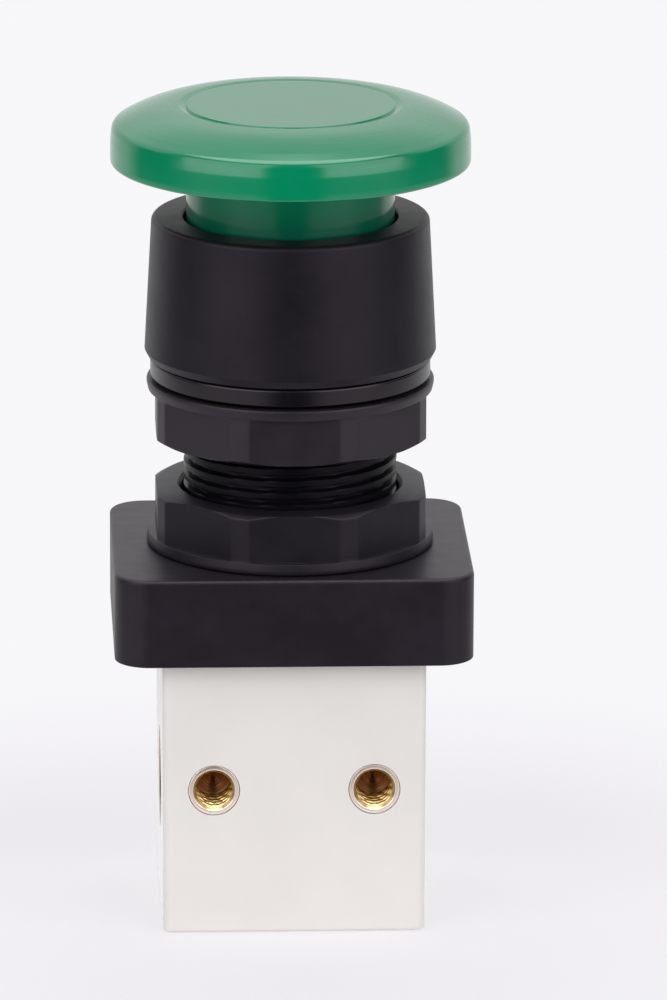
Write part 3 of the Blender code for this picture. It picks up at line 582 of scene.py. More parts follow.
# %% [markdown]
# ## The flanged nuts
# Each nut is a moulded octagon whose corners are cut by short facets, with a round flange.
# The crown is chamfered by a cone, which bites only into the corners. In polar form this is
# plain arithmetic: a flat at distance d is d / cos(angle), and a body bounded by several
# faces takes the nearest one. A nearly exact minimum, with a little softness, rounds the
# edges as a mould does. The flange is a stack of plain circles below.

# %% Shape a nut in polar form
NUT_FLAT = 15.1
NUT_CORNER = 15.9
NUT_SIDES = 8
NUT_BORE_R = 12.3
NUT_MOUTH = 0.4
NUT_FLANGE_EDGE = 0.45
NUT_FLANGE_HEIGHT = 1.2
NUT_FLANGE_TAPER = 0.15
NUT_CROWN_SLOPE = math.radians(30)
NUT_CROWN_DROP = 1.2
NUT_AROUND = 576
NUT_SOFTNESS = 0.035


def soft_min(values):
    """The smallest of several radii, with the change from one to the next rounded off."""
    values = np.array(values)
    lowest = values.min(axis=0)
    return lowest - NUT_SOFTNESS * np.log(np.exp((lowest - values) / NUT_SOFTNESS).sum(axis=0))


def nut_sides():
    """Radius of the nut's side walls at each angle, a flat looking along -Y."""
    angles = np.arange(NUT_AROUND) * 2 * math.pi / NUT_AROUND
    walls = []
    for i in range(2 * NUT_SIDES):
        away = np.cos(angles + math.pi / 2 - i * math.pi / NUT_SIDES)
        distance = NUT_FLAT if i % 2 == 0 else NUT_CORNER
        walls.append(np.where(away > 0.5, distance / np.maximum(away, 0.5), 99.0))
    return soft_min(walls)


def nut_loops(height, flange_r):
    """Loops of a nut with its flange at the foot, from the bore's foot round to its top."""
    sides = nut_sides()
    ledge = NUT_FLANGE_HEIGHT
    ledge_r = flange_r - NUT_FLANGE_TAPER
    flange = [(NUT_BORE_R, NUT_MOUTH), (NUT_BORE_R + NUT_MOUTH, 0), (flange_r - 0.15, 0),
              (flange_r - 0.04, 0.04), (flange_r, 0.15), (flange_r, NUT_FLANGE_EDGE - 0.06),
              (flange_r - 0.02, NUT_FLANGE_EDGE + 0.06), (ledge_r, ledge - 0.08),
              (ledge_r - 0.02, ledge - 0.03), (ledge_r - 0.06, ledge)]
    body = [(np.minimum(sides + fillet, ledge_r - 0.065), ledge + rise)
            for fillet, rise in ((0.07, 0), (0.02, 0.02), (0.0, 0.08))]
    crown_foot = height - NUT_CROWN_DROP
    wall_levels = np.linspace(ledge + 0.4, crown_foot, 4)
    crown_levels = np.linspace(crown_foot + 0.1, height - 0.06, 12)
    for level in (*wall_levels, *crown_levels):
        cone = NUT_FLAT + (height - level) / math.tan(NUT_CROWN_SLOPE)
        body.append((soft_min([sides, cone + 0 * sides]), level))
    rim = soft_min([sides, NUT_FLAT + 0 * sides])
    crown = [(rim - 0.04, height - 0.015), (rim - 0.12, height),
             (NUT_BORE_R + NUT_MOUTH, height), (NUT_BORE_R, height - NUT_MOUTH)]
    return np.array([circle_loop(radius, level, NUT_AROUND) for radius, level in flange + body + crown])


print(f"nut {2 * NUT_FLAT:.1f} mm across flats and {2 * NUT_CORNER:.1f} mm across the cut corners")

# %% [markdown]
# ## Two nuts from one mould
# The lock nut stands on its flange and holds the stem in the plate. The panel nut is the
# same nut upside down, so its loops are the same ones with their heights turned over. Each
# rides on its own body: one turns on the stem, the other one climbs it.

# %% Set the two nuts
nut_foot, nut_top = heights("lower_nut")
flange_r = outer_radius("lower_nut")
lock_loops = nut_loops(nut_top - nut_foot, flange_r)
lock_nut = skin("lock_nut", lock_loops + np.array((0, 0, nut_foot)))
settle(lock_nut, black_smooth, "lower_nut", "lower_nut")

panel_nut_top = heights("upper_nut")[1]
panel_loops = lock_loops * np.array((1, 1, -1)) + np.array((0, 0, panel_nut_top))
panel_nut = skin("panel_nut", panel_loops)
settle(panel_nut, black_paler, "upper_nut", "upper_nut")

# %% [markdown]
# ## Rounded rectangles and cuts
# The cap plate and the block are lofts: rounded rectangles at several heights, wider or
# narrower by the mould's draft. Their holes are drilled afterwards with a Boolean, as on a
# real part, and the cut is applied at once so that the mesh is final.

# %% Loft a moulding and drill it


def rectangle_loop(width, depth, radius, height, steps=8):
    """Loop of a rectangle whose corners are arcs, in a number of steps each."""
    points = []
    for quarter, (side_x, side_y) in enumerate(((1, 1), (-1, 1), (-1, -1), (1, -1))):
        for step in range(steps + 1):
            angle = math.radians(90 * (quarter + step / steps))
            points.append((side_x * (width / 2 - radius) + radius * math.cos(angle),
                           side_y * (depth / 2 - radius) + radius * math.sin(angle), height))
    return np.array(points)


def cut(piece, tools):
    """Subtract the tools from a piece, keep the result as its mesh and remove the tools."""
    piece.modifiers.clear()
    for tool in tools:
        step = piece.modifiers.new(tool.name, "BOOLEAN")
        step.operation = "DIFFERENCE"
        step.solver = "EXACT"
        step.object = tool
    bpy.context.view_layer.update()
    graph = bpy.context.evaluated_depsgraph_get()
    result = bpy.data.meshes.new_from_object(piece.evaluated_get(graph))
    piece.modifiers.clear()
    piece.data = result
    for tool in tools:
        bpy.data.objects.remove(tool)
    return shade(piece)


def drill_tool(name, corners, around=96):
    """A solid cutter of round steps, from (radius, height) pairs, along Z."""
    return skin(name, [circle_loop(r, z, around) for r, z in corners], ring=False)


# %% [markdown]
# ## The cap plate
# A black rectangular moulding covers the block. Its corners have a large radius, its edges
# a small one, and its sides lean in by less than a degree, as all of this mould's walls do.
# A well takes the stem, a recess takes the block, and the sides are cored from below.

# %% Mould the plate
PLATE_CORNER_R = 4.0
PLATE_EDGE = 0.5
PLATE_DRAFT = math.radians(0.1)
PLATE_FLOOR_TOP = 35.95
RECESS_CEILING = 33.35
RECESS_CORNER_R = 1.1
WELL_CHAMFER = 0.5
SCREW_CIRCLE_R = 8.2
SCREW_HOLE_R = 1.7
POCKET_WIDTH = 2.16
POCKET_X = 17.12
POCKET_DEPTH = 4.5
POCKET_GAP = 1.4
SPIGOT_PLAY = 0.3
SPIGOT_HALF = 13.988

plate_foot, plate_top = heights("adapter_plate")
plate_width = 2 * outer_radius("adapter_plate")
plate_depth = 2 * extent("adapter_plate", 1)[1]


def plate_loop(height, inset=0.0):
    """The plate's outline at a height, with its draft, and moved in by an edge's rounding."""
    pull = 2 * ((plate_top - height) * math.tan(PLATE_DRAFT) + inset)
    return rectangle_loop(plate_width - pull, plate_depth - pull, PLATE_CORNER_R - pull / 2, height, 14)


plate_loops = [plate_loop(plate_foot + rise, inset) for rise, inset in ((0, 0.12), (0.04, 0.04), (0.12, 0))]
plate_loops += [plate_loop(plate_top - PLATE_EDGE * (1 - math.sin(a)), PLATE_EDGE * (1 - math.cos(a)))
                for a in np.linspace(0, math.pi / 2, 8)]
plate = skin("cap_plate", plate_loops, ring=False)

recess_width = 2 * (SPIGOT_HALF + SPIGOT_PLAY)
recess = [rectangle_loop(recess_width, recess_width, RECESS_CORNER_R, z)
          for z in (plate_foot - 1, RECESS_CEILING)]
well_rim_r = NUT_BORE_R + WELL_CHAMFER
well = [(well_rim_r, plate_top + 1), (well_rim_r, plate_top), (NUT_BORE_R, plate_top - WELL_CHAMFER),
        (NUT_BORE_R, PLATE_FLOOR_TOP), (ROD_HOLE_R, PLATE_FLOOR_TOP), (ROD_HOLE_R, plate_foot)]
plate_tools = [skin("recess", recess, ring=False), drill_tool("well", well, 160)]
screw_centres = [(SCREW_CIRCLE_R * math.cos(a), SCREW_CIRCLE_R * math.sin(a), 0)
                 for a in (math.radians(45 + 90 * i) for i in range(4))]
for number, centre in enumerate(screw_centres, 1):
    steps = [(SCREW_HOLE_R, PLATE_FLOOR_TOP + 1), (SCREW_HOLE_R, plate_foot)]
    plate_tools.append(carry(drill_tool(f"screw_hole_{number}", steps, 48), centre))
pocket_length = (plate_depth - 2 * PLATE_CORNER_R - 2 * POCKET_GAP) / 3
for side in (-1, 1):
    for row in (-1, 0, 1):
        loops = [rectangle_loop(POCKET_WIDTH, pocket_length, 0.5, z) for z in (-1, POCKET_DEPTH)]
        tool = skin(f"pocket_{side}_{row}", loops, ring=False)
        plate_tools.append(carry(tool, (side * POCKET_X, row * (pocket_length + POCKET_GAP), plate_foot)))
cut(plate, plate_tools)
settle(plate, black_grain, "housing", "adapter_plate")

# %% [markdown]
# ## The valve block
# The white block is a square moulding, a hair wider at its top, with softly broken
# edges. The brass inserts sit in drilled seats, and each seat has a tiny chamfer where the
# drill went in. From below one sees the end plug, and from behind the exhaust hole.

# %% Mould the block
BLOCK_BASE = 29.46
BLOCK_DRAFT = math.radians(0.1)
BLOCK_CORNER_R = 0.8
BLOCK_EDGE = 0.45
SHOULDER_DROP = 0.3
BORE_R = 5.0
BORE_TOP = 24.9
TAPPET_HOLE_R = 2.9
PLUG_BORE_R = 7.6
PLUG_DEPTH = 3.3
PORT_Z = 14.1
PORT_SEAT_R = 5.75
PORT_SEAT_DEPTH = 8.0
PASSAGE_R = 1.2
PASSAGE_OFFSET = 2.0
PASSAGE_FROM_FACE = 7.0
TAPPED_HOLE_R = 1.55
TAPPED_HOLE_DEPTH = 7.0
EXHAUST_Z = 21.0
EXHAUST_R = 1.3
EXHAUST_MOUTH_R = 2.1
EXHAUST_MOUTH_DEPTH = 5.0
INSERT_X = 9.0
INSERT_Z = 16.7
INSERT_SEAT_DEPTH = 7.25

insert_low, insert_high = heights("front_insert_left")
insert_outer_r = (insert_high - insert_low) / 2
insert_seat_r = insert_outer_r + 0.15
insert_face_r = insert_seat_r - 0.05
block_top = heights("valve_body")[1]


def half_width(height):
    """Half the block's width at a height."""
    return BLOCK_BASE / 2 + height * math.tan(BLOCK_DRAFT)


def block_loop(height, inset=0.0, radius=BLOCK_CORNER_R):
    width = 2 * (half_width(height) - inset)
    return rectangle_loop(width, width, radius, height, 8)


block_loops = [block_loop(BLOCK_EDGE * (1 - math.cos(a)), BLOCK_EDGE * (1 - math.sin(a)))
               for a in np.linspace(0, math.pi / 2, 7)]
shoulder = plate_foot - SHOULDER_DROP
block_loops += [block_loop(shoulder - 0.2), block_loop(shoulder - 0.06, 0.06), block_loop(shoulder, 0.2)]
block_loops += [rectangle_loop(2 * SPIGOT_HALF, 2 * SPIGOT_HALF, BLOCK_CORNER_R, z, 8)
                for z in (shoulder, block_top)]
block = skin("valve_block", block_loops, ring=False)


def seat_tool(name, radius, depth):
    """Cutter for an insert's seat, with a small chamfer at the face, which is at z = 0."""
    mouth_r = radius + 0.08
    return drill_tool(name, [(mouth_r, 1), (mouth_r, 0.02), (radius, -0.07), (radius, -depth)], 112)


plug_rim_r = PLUG_BORE_R + 0.3
bore = [(TAPPET_HOLE_R, block_top + 1), (TAPPET_HOLE_R, BORE_TOP), (BORE_R, BORE_TOP), (BORE_R, PLUG_DEPTH),
        (PLUG_BORE_R, PLUG_DEPTH), (PLUG_BORE_R, 0.25), (plug_rim_r, -0.05), (plug_rim_r, -1)]
block_tools = [drill_tool("spool_bore", bore)]
passage_start = BORE_R * 0.8
port_face = half_width(PORT_Z)
for side in (-1, 1):
    tool = seat_tool(f"port_seat_{side}", PORT_SEAT_R, PORT_SEAT_DEPTH)
    block_tools.append(aim(tool, ("Y", side * 90), (side * port_face, 0, PORT_Z)))
    steps = [(PASSAGE_R, passage_start), (PASSAGE_R, port_face - PASSAGE_FROM_FACE)]
    tool = drill_tool(f"passage_{side}", steps, 48)
    block_tools.append(aim(tool, ("Y", side * 90), (0, 0, PORT_Z + side * PASSAGE_OFFSET)))
exhaust_face = half_width(EXHAUST_Z)
exhaust_step = exhaust_face - EXHAUST_MOUTH_DEPTH
exhaust_rim_r = EXHAUST_MOUTH_R + 0.2
exhaust = [(exhaust_rim_r, exhaust_face + 1), (exhaust_rim_r, exhaust_face + 0.05),
           (EXHAUST_MOUTH_R, exhaust_face - 0.2), (EXHAUST_MOUTH_R, exhaust_step),
           (EXHAUST_R, exhaust_step - 0.6), (EXHAUST_R, passage_start)]
block_tools.append(aim(drill_tool("exhaust", exhaust, 64), ("X", -90), (0, 0, EXHAUST_Z)))
for side in (-1, 1):
    tool = seat_tool(f"insert_seat_{side}", insert_seat_r, INSERT_SEAT_DEPTH)
    block_tools.append(aim(tool, ("X", 90), (side * INSERT_X, -half_width(INSERT_Z), INSERT_Z)))
for number, centre in enumerate(screw_centres, 1):
    steps = [(TAPPED_HOLE_R, block_top + 1), (TAPPED_HOLE_R, block_top - TAPPED_HOLE_DEPTH)]
    block_tools.append(carry(drill_tool(f"block_screw_hole_{number}", steps, 48), centre))
cut(block, block_tools)
settle(block, white_block, "housing", "valve_body")

# %% [markdown]
# ## Brass inserts
# Plastic can't hold a screw that is changed often, so brass bushes are pressed into the
# block. Each has a flat face, a countersunk mouth and a fine thread whose turns catch the
# light inside the hole. The front ones are blind. The side ports take pipe fittings, are
# open at their inner end and have a wider and deeper thread.

# %% Turn the inserts
DRILL_POINT = 0.45


def insert(name, bore_r, outer_r, length, mouth, thread_depth, pitch, around, blind=0.0):
    """A threaded bush along Z with its face at z = 0, open at its end, or blind with a drill's cone."""
    start_r = outer_r - mouth - 0.2 if blind else bore_r
    thread_end = -blind + bore_r * DRILL_POINT if blind else -length + 0.1
    outline = [(start_r, -length, 0), (outer_r - mouth, -length, 0.1), (outer_r, -length + mouth, 0.1),
               (outer_r, 0, 0.1), (bore_r + mouth, 0, 0.06), (bore_r, -mouth, 0)]
    loops = [circle_loop(r, z, around) for r, z in soften(outline, ring=False)]
    loops += thread_loops(-mouth - 0.02, thread_end, bore_r, bore_r + thread_depth, pitch,
                          around, per_pitch=14, run_out=0.25)
    if blind:
        loops.append(circle_loop(0.2, -blind, around))
    return skin(name, loops, ring=not blind)


MOUNT_BORE_R = 2.05
MOUNT_LENGTH = 6.8
MOUNT_DEPTH = 6.2
for name, side, node in (("mount_insert_left", -1, "front_insert_left"),
                         ("mount_insert_right", 1, "front_insert_right")):
    bush = insert(name, MOUNT_BORE_R, insert_face_r, MOUNT_LENGTH, mouth=0.35, thread_depth=0.22,
                  pitch=1.0, around=128, blind=MOUNT_DEPTH)
    aim(bush, ("X", 90), (side * INSERT_X, extent(node, 1)[0], INSERT_Z))
    settle(bush, brass_front, "housing", node)

PORT_BORE_R = 4.4
PORT_OUTER_R = 5.6
PORT_LENGTH = 7.0
for name, side, node in (("supply_bush", -1, "supply_port_insert"), ("outlet_bush", 1, "outlet_port_insert")):
    bush = insert(name, PORT_BORE_R, PORT_OUTER_R, PORT_LENGTH, mouth=0.5, thread_depth=0.55,
                  pitch=0.907, around=160)
    low, high = extent(node, 0)
    aim(bush, ("Y", side * 90), (low if side < 0 else high, 0, PORT_Z))
    settle(bush, brass_side, "housing", node)

# %% [markdown]
# ## End plug
# A slotted brass plug closes the spool's bore from below, with a rubber ring behind its
# flange. Its slot takes a screwdriver, and a small hole vents the space under the spool.

# %% Turn the plug, slot it and seal it
PLUG_R = 7.3
PLUG_NOSE_R = 6.05
PLUG_CUP_R = 2.3
PLUG_VENT_R = 0.8
PLUG_SHOULDER = 1.85
PLUG_CUP_FLOOR = 1.45
SLOT_LENGTH = 20.0
SLOT_WIDTH = 1.6
SLOT_DEPTH = 0.5

plug_foot, plug_top = heights("end_plug")
plug = turned("bore_plug", [
    (PLUG_VENT_R, PLUG_CUP_FLOOR, 0.1), (PLUG_CUP_R, PLUG_CUP_FLOOR, 0.1), (PLUG_CUP_R, plug_top, 0.1),
    (PLUG_NOSE_R, plug_top, 0.15), (PLUG_NOSE_R, PLUG_SHOULDER, 0), (PLUG_R, PLUG_SHOULDER, 0.12),
    (PLUG_R, plug_foot, 0.3), (PLUG_VENT_R, plug_foot, 0.12)], around=128)
slot = skin("driver_slot", [rectangle_loop(SLOT_LENGTH, SLOT_WIDTH, 0.2, z, 2)
                            for z in (plug_foot - 1, plug_foot + SLOT_DEPTH)], ring=False)
cut(plug, [slot])
settle(plug, brass_plug, "housing", "end_plug")


def o_ring(name, node, body):
    """A round rubber ring that fills the height of its solid."""
    low, high = heights(node)
    section_r = (high - low) / 2
    centre_r = outer_radius(node) - section_r
    loops = [circle_loop(centre_r + section_r * math.cos(a), (low + high) / 2 + section_r * math.sin(a), 96)
             for a in np.arange(20) * 2 * math.pi / 20]
    return settle(skin(name, loops), black_rubber, body, node)


o_ring("plug_ring", "plug_seal", "housing")
o_ring("neck_ring", "neck_wiper", "housing")

# %% [markdown]
# ## The spool
# The spool is a turned alloy rod with three grooved lands. Each groove holds a rubber ring,
# the long tappet reaches up through the plate to the button's rod, and the hollow foot
# holds the return spring. It moves with the button.

# %% Turn the spool
TAPPET_R = 2.6
LAND_R = 4.7
GROOVE_ROOT_R = 3.15
WAIST_R = 2.95
SPOOL_POCKET_R = 2.15
LAND_HALF = 1.25
GROOVE_HALF = 0.85
SPRING_POCKET_TOP = 14.75
RING_NODES = ("spool_ring_upper", "spool_ring_middle", "spool_ring_lower")

ring_levels = [sum(heights(node)) / 2 for node in RING_NODES]
spool_foot, spool_top = heights("spool")
spool_corners = [(TAPPET_R - 0.6, spool_top, 0), (TAPPET_R, spool_top - 0.6, 0.15)]
neck_r = TAPPET_R
for level in ring_levels:
    spool_corners += [(neck_r, level + LAND_HALF, 0.15), (LAND_R, level + LAND_HALF, 0.15),
                      (LAND_R, level + GROOVE_HALF, 0.05), (GROOVE_ROOT_R, level + GROOVE_HALF, 0.1),
                      (GROOVE_ROOT_R, level - GROOVE_HALF, 0.1), (LAND_R, level - GROOVE_HALF, 0.05),
                      (LAND_R, level - LAND_HALF, 0.15)]
    neck_r = WAIST_R
    if level != ring_levels[-1]:
        spool_corners.append((neck_r, level - LAND_HALF, 0.15))
spool_corners += [(SPOOL_POCKET_R, spool_foot, 0.1), (SPOOL_POCKET_R, SPRING_POCKET_TOP, 0)]
spool = turned("valve_spool", spool_corners, ring=False, around=96)
settle(spool, alloy, "spool", "spool")
for node in RING_NODES:
    o_ring(node.replace("spool_ring", "land_ring"), node, "spool")

# %% [markdown]
# ## The carrier and the plate's screws
# The cap snaps on a black carrier: a cup in its neck, a flange that stops under the bezel's
# lip, a guide disc in the stem's bore and a rod down to the spool. Four socket screws under
# the stem hold the plate on the block. All of it is turned.

# %% Turn the carrier and the screws
CUP_HEIGHT = 8.0
CUP_WALL = 1.8
CUP_FLOOR = 2.0
STOP_HEIGHT = 1.5
COLUMN_LENGTH = 11.9
COLUMN_R = 5.0
DISC_HEIGHT = 2.0
GUIDE_PLAY = 0.3
ROD_R = 3.6

carrier_foot, carrier_top = heights("button_carrier")
stop_r = outer_radius("button_carrier")
stop_top = carrier_top - CUP_HEIGHT
stop_foot = stop_top - STOP_HEIGHT
disc_foot = stop_foot - COLUMN_LENGTH - DISC_HEIGHT
disc_top = disc_foot + DISC_HEIGHT
cup_r = NECK_BORE_R - GUIDE_PLAY
disc_r = STEM_BORE_R - GUIDE_PLAY
carrier = turned("button_carrier_body", [
    (cup_r - CUP_WALL, stop_foot + CUP_FLOOR, 0), (cup_r - CUP_WALL, carrier_top, 0.2),
    (cup_r, carrier_top, 0.3), (cup_r, stop_top, 0), (stop_r, stop_top, 0.2), (stop_r, stop_foot, 0.2),
    (COLUMN_R, stop_foot, 0.5), (COLUMN_R, disc_top, 0.5), (disc_r, disc_top, 0.2), (disc_r, disc_foot, 0.2),
    (ROD_R, disc_foot, 0.4), (ROD_R, carrier_foot + 0.5, 0.1), (ROD_R - 0.5, carrier_foot, 0)],
    ring=False, around=128)
settle(carrier, black_smooth, "button", "button_carrier")

SCREW_HEAD_R = 2.4
SCREW_SHANK_R = 1.4
SCREW_ROOT_R = 1.15
SCREW_PITCH = 0.6
SCREW_HEAD_HEIGHT = 1.6
SOCKET_R = 1.2
SOCKET_DEPTH = 0.9
for number, centre in enumerate(screw_centres, 1):
    node = f"plate_screw_{number}"
    foot, top = heights(node)
    shank_top = top - SCREW_HEAD_HEIGHT
    outline = soften([(SOCKET_R, top - SOCKET_DEPTH, 0), (SOCKET_R, top, 0.08), (SCREW_HEAD_R, top, 0.2),
                      (SCREW_HEAD_R, shank_top, 0.1), (SCREW_SHANK_R, shank_top, 0)], ring=False)
    loops = [circle_loop(r, z, 48) for r, z in outline]
    loops += thread_loops(shank_top - 0.3, foot + 0.3, SCREW_SHANK_R, SCREW_ROOT_R, SCREW_PITCH,
                          around=48, per_pitch=8)
    loops.append(circle_loop(SCREW_ROOT_R, foot, 48))
    screw = carry(skin(f"socket_screw_{number}", loops, ring=False), centre)
    settle(screw, steel, "housing", node)

# %% [markdown]
# ## Springs
# Both springs are round wire with one closed turn at each end. The wire is a tube swept
# along the coil's line. A spring can't follow a joint rigidly.

# %% Wind the springs
CLOSED_PITCH = 1.3


def coil_spring(name, node, wire_r, turns, sides=12, per_turn=48):
    """Wire coil between the ends of its solid, as wide as the solid."""
    low, high = heights(node)
    coil_r = outer_radius(node) - wire_r
    closed_pitch = 2 * wire_r * CLOSED_PITCH
    free_rise = high - low - 2 * wire_r - 2 * closed_pitch
    turn = np.linspace(0, turns, int(turns * per_turn))
    middle = np.clip(turn - 1, 0, turns - 2)
    level = low + wire_r + (turn - middle) * closed_pitch + free_rise * middle / (turns - 2)
    angle = 2 * math.pi * turn
    line = np.stack((coil_r * np.cos(angle), coil_r * np.sin(angle), level), 1)
    outwards = np.stack((np.cos(angle), np.sin(angle), 0 * angle), 1)
    forwards = np.gradient(line, axis=0)
    forwards /= np.linalg.norm(forwards, axis=1)[:, None]
    upwards = np.cross(forwards, outwards)
    around = np.arange(sides) * 2 * math.pi / sides
    loops = [centre + wire_r * (np.outer(np.cos(around), out) + np.outer(np.sin(around), up))
             for centre, out, up in zip(line, outwards, upwards)]
    return skin(name, loops, ring=False), low, high


for name, node, wire_r, turns, joint in (("button_coil", "button_spring", 0.5, 5.0, "button_push"),
                                         ("valve_coil", "valve_spring", 0.25, 7.0, "spool_slide")):
    spring, low, high = coil_spring(name, node, wire_r, turns)
    settle(spring, steel, "housing", node)
    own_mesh(spring)

# %% [markdown]
# ## What shines on a glossy piece
# A glossy head is a map of the room. Its reflections tell that bright screens stand at the
# front left and right, that the gap between them is dark, that the room is dark again at
# both sides, and that the pale background closes it behind. Mostly the bearing counts for
# that, so one helper turns a direction or a place into a shade of grey.

# %% The room by its bearing
ROOM_LIGHT = 6.0
ROOM_SIDE = ((84, 0.05), (112, 0.05))
ROOM_REAR = ((126, 0.93), (180, 0.93))
ROOM_BY_BEARING = ((0, 0.0), (14, 0.0), (26, 0.3), (68, 0.3), *ROOM_SIDE, *ROOM_REAR)
TABLE_BY_BEARING = ((0, 0.0), (14, 0.0), (26, 1.7), (68, 1.7), *ROOM_SIDE, *ROOM_REAR)
FEET_BY_BEARING = ((0, 0.0), (14, 0.0), (26, 0.12), (60, 0.4), (84, 0.05), (112, 0.08), *ROOM_REAR)
FLOOR_BY_BEARING = ((0, 0.02), (14, 0.02), (24, 0.85), (60, 0.85), (110, 0.8), (180, 0.93))


def calculate(tree, operation, *values):
    """One step of arithmetic on outputs or plain numbers."""
    step = tree.nodes.new("ShaderNodeMath")
    step.operation = operation
    return feed(tree, step, dict(enumerate(values))).outputs[0]


def lit(tone):
    """A colour, or one grey, as a share of the room's light."""
    return tuple(value / ROOM_LIGHT for value in np.broadcast_to(tone, 3))


def room_shade(tree, vector, shades=ROOM_BY_BEARING):
    """Grey of the room in the direction of a vector."""
    parts = add(tree, "ShaderNodeSeparateXYZ", {0: vector}).outputs
    front = calculate(tree, "MULTIPLY", parts["Y"], -1.0)
    bearing = calculate(tree, "ABSOLUTE", calculate(tree, "ARCTAN2", parts["X"], front))
    stops = [(degrees / 180, lit(radiance)) for degrees, radiance in shades]
    return ramp(tree, calculate(tree, "DIVIDE", bearing, math.pi), stops)


for degrees, radiance in ROOM_BY_BEARING:
    print(f"{degrees} degrees from the front: radiance {radiance}")

# %% [markdown]
# ## Floor and background
# The photo was taken on a pale sweep with hardly a shadow. A large pale floor gives that: to
# the camera it is mostly its own paleness and partly lit, so that the object's soft shadow
# stays. A reflection sees it pale near the object, dim round the feet of the screens, and
# bright beyond them, with the dark gap of the room straight in front.

# %% Lay the floor
FLOOR_COLOUR = (0.88, 0.87, 0.9)
FLOOR_GLOW = (1.06, 1.04, 1.08)
FLOOR_FAR = (0.935, 0.925, 0.95)
FLOOR_DARK = (0.3, 0.3, 0.3)
FLOOR_GLOW_SHARE = 0.58
FLOOR_R = 4.0
FLOOR_LEVEL = -0.0001
PALE_NEAR = (0.035, 0.11)
DARK_FROM = (0.15, 0.25)
FEET_FROM = (0.315, 0.34)
ROOM_FROM = (0.55, 1.3)


def seen_directly(tree):
    """One for camera rays, and one for glossy and transmission rays."""
    path = tree.nodes.new("ShaderNodeLightPath").outputs
    mirrored = calculate(tree, "MAXIMUM", path["Is Glossy Ray"], path["Is Transmission Ray"])
    return path["Is Camera Ray"], mirrored


def floor_finish():
    """Lit paper near the object, and farther out its own paleness, or the room to a reflection."""
    finish, tree, shader = new_finish("pale_floor")
    place = tree.nodes.new("ShaderNodeNewGeometry").outputs["Position"]
    distance = tree.nodes.new("ShaderNodeVectorMath")
    distance.operation = "LENGTH"
    distance = feed(tree, distance, {0: place}).outputs["Value"]
    far, dark, feet, beyond = (rising(tree, distance, start, end)
                               for start, end in (PALE_NEAR, DARK_FROM, FEET_FROM, ROOM_FROM))
    feed(tree, shader, {"Base Color": mix_colour(tree, dark, FLOOR_COLOUR, FLOOR_DARK),
                        "Roughness": 0.9, "Specular IOR Level": 0.0})
    camera_sees, mirrored = seen_directly(tree)
    near_shade, feet_shade, table_shade = (room_shade(tree, place, shades) for shades in
                                           (FLOOR_BY_BEARING, FEET_BY_BEARING, TABLE_BY_BEARING))
    room = mix_colour(tree, beyond, mix_colour(tree, feet, near_shade, feet_shade), table_shade)
    outside = mix_colour(tree, mirrored, lit(FLOOR_FAR), room)
    glow = add(tree, "ShaderNodeEmission", {"Color": mix_colour(tree, far, lit(FLOOR_GLOW), outside),
                                            "Strength": ROOM_LIGHT})
    glow_share = calculate(tree, "MULTIPLY", far, 1 - FLOOR_GLOW_SHARE)
    glow_share = calculate(tree, "ADD", glow_share, FLOOR_GLOW_SHARE)
    direct = calculate(tree, "MULTIPLY", camera_sees, glow_share)
    mix = add(tree, "ShaderNodeMixShader", {0: calculate(tree, "MAXIMUM", direct, mirrored),
                                            1: shader.outputs[0], 2: glow.outputs[0]})
    feed(tree, tree.nodes["Material Output"], {"Surface": mix.outputs[0]})
    return finish


floor_mesh = bpy.data.meshes.new("studio_floor")
floor_corners = [(x * FLOOR_R, y * FLOOR_R, FLOOR_LEVEL) for x, y in ((-1, -1), (1, -1), (1, 1), (-1, 1))]
floor_mesh.from_pydata(floor_corners, [], [(0, 1, 2, 3)])
floor_mesh.materials.append(floor_finish())
floor = bpy.data.objects.new("studio_floor", floor_mesh)
bpy.context.scene.collection.objects.link(floor)
print(f"floor {2 * FLOOR_R:.0f} m wide, shadow shown out to {PALE_NEAR[1] / MM:.0f} mm")

# %% [markdown]
# ## Light
# The white block shows an even light from both sides and only a narrow shadow under the
# plate, so two wide soft screens stand low at the front left and right. A smaller lamp above
# and behind lets a soft shadow fall in front of the block, and the world gives a dim even
# part. A pale strip overhead, which only reflections see, draws the band along the rim's top.

# %% Make the world dim, and show reflections the room
WORLD_LIGHT = 0.12
WORLD_TINT = (1.0, 0.985, 0.99)
WORLD_PALE = (0.93, 0.92, 0.95)
CEILING_FROM = (0.26, 0.48)
CEILING_BEHIND = (0.05, 0.25)
CEILING_FRONT = 0.25
CEILING_REAR = 1.3
ZENITH = 5.8
ZENITH_FROM = (0.78, 0.88)
ZENITH_TO = (0.4, 0.2)

world = bpy.data.worlds.new("studio_world")
bpy.context.scene.world = world
world.use_nodes = True
tree = world.node_tree
ambient = feed(tree, tree.nodes["Background"], {"Color": WORLD_TINT, "Strength": WORLD_LIGHT})
direction = tree.nodes.new("ShaderNodeTexCoord").outputs["Generated"]
parts = add(tree, "ShaderNodeSeparateXYZ", {0: direction}).outputs
behind = rising(tree, parts["Y"], *CEILING_BEHIND)
overhead = calculate(tree, "MULTIPLY", rising(tree, parts["Z"], *ZENITH_FROM),
                     rising(tree, parts["Y"], *ZENITH_TO))
ceiling_shade = mix_colour(tree, behind, lit(CEILING_FRONT), lit(CEILING_REAR))
ceiling_shade = mix_colour(tree, overhead, ceiling_shade, lit(ZENITH))
room = mix_colour(tree, rising(tree, parts["Z"], *CEILING_FROM), room_shade(tree, direction), ceiling_shade)
camera_sees, mirrored = seen_directly(tree)
backdrop = add(tree, "ShaderNodeBackground", {"Color": mix_colour(tree, camera_sees, room, lit(WORLD_PALE)),
                                              "Strength": ROOM_LIGHT})
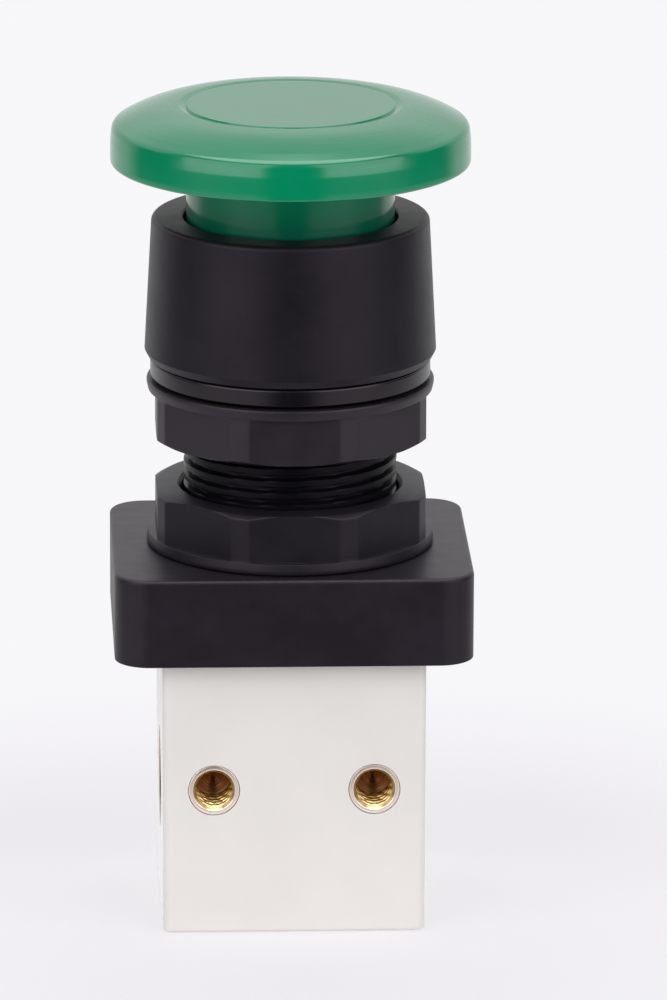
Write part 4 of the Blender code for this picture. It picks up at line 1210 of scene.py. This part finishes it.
mix = add(tree, "ShaderNodeMixShader", {0: calculate(tree, "MAXIMUM", camera_sees, mirrored),
                                        1: ambient.outputs[0], 2: backdrop.outputs[0]})
feed(tree, tree.nodes["World Output"], {"Surface": mix.outputs[0]})
print(f"even light {WORLD_LIGHT}, strip overhead {ZENITH}")

# %% [markdown]
# ## Lamps
# Each lamp is a flat soft box that looks at the middle of the object. Its strength is given
# as the radiance of its face, so a wider one gives more light and isn't brighter itself.

# %% Stand the soft boxes
TARGET = Vector((0, 0, 0.0464))
SCREENS = (("screen_left", -46, 2.1), ("screen_right", 46, 2.02))


def soft_box(name, azimuth, elevation, distance, width, height, radiance):
    """Area lamp that looks at the object. Azimuth 0 is the front and runs to the right."""
    lamp = bpy.data.lights.new(name, "AREA")
    lamp.shape = "RECTANGLE"
    lamp.size, lamp.size_y = width, height
    lamp.energy = math.pi * width * height * radiance
    turn, rise = math.radians(azimuth), math.radians(elevation)
    away = Vector((math.sin(turn) * math.cos(rise), -math.cos(turn) * math.cos(rise), math.sin(rise)))
    box = bpy.data.objects.new(name, lamp)
    bpy.context.scene.collection.objects.link(box)
    box.location = TARGET + away * distance
    box.rotation_euler = away.to_track_quat("Z", "Y").to_euler()
    print(f"{name}: {lamp.energy:.2f} W")
    return box


for name, azimuth, radiance in SCREENS:
    soft_box(name, azimuth, elevation=22, distance=1.1, width=1.2, height=0.95, radiance=radiance)
lamp_behind = soft_box("lamp_behind", 180, elevation=60, distance=1.0, width=1.2, height=0.4, radiance=2.4)
lamp_behind.visible_glossy = False

# %% [markdown]
# ## Camera
# The ellipses of the nuts and the head give the viewpoint: 15.2 degrees above the table, a
# little to the left of the front, from about 1.1 m. The object stands left of the middle of
# the picture, which is a shift of the lens and not a turn of the camera.

# %% Place the camera
CAMERA_DISTANCE = 1.1
CAMERA_RISE = math.radians(15.2)
CAMERA_LEFT = math.radians(2.1)
CAMERA_ROLL = math.radians(0.1)
FRAME_HEIGHT_PX = 1000
FRAME_WIDTH_PX = 667
OBJECT_AXIS_PX = 290.0
PX_PER_MM = 8.865
SENSOR = 36.0

camera_data = bpy.data.cameras.new("studio_camera")
camera_data.sensor_fit = "VERTICAL"
camera_data.sensor_width = camera_data.sensor_height = SENSOR
camera_data.lens = SENSOR * PX_PER_MM * CAMERA_DISTANCE / MM / FRAME_HEIGHT_PX
camera_data.shift_x = (FRAME_WIDTH_PX / 2 - OBJECT_AXIS_PX) / FRAME_HEIGHT_PX
camera = bpy.data.objects.new("studio_camera", camera_data)
bpy.context.scene.collection.objects.link(camera)
towards = Vector((-math.sin(CAMERA_LEFT) * math.cos(CAMERA_RISE),
                  -math.cos(CAMERA_LEFT) * math.cos(CAMERA_RISE), math.sin(CAMERA_RISE)))
camera.location = TARGET + towards * CAMERA_DISTANCE
level_look = (-towards).to_track_quat("-Z", "Y").to_matrix()
camera.rotation_euler = (level_look @ Matrix.Rotation(CAMERA_ROLL, 3, "Z")).to_euler()
bpy.context.scene.camera = camera
print(f"lens {camera_data.lens:.0f} mm, shift {camera_data.shift_x:.3f}")

# %% [markdown]
# ## Colour and the end
# The colours go to the picture as they are.

# %% Colour management and the end
bpy.context.scene.view_settings.view_transform = "Standard"
bpy.context.view_layer.update()
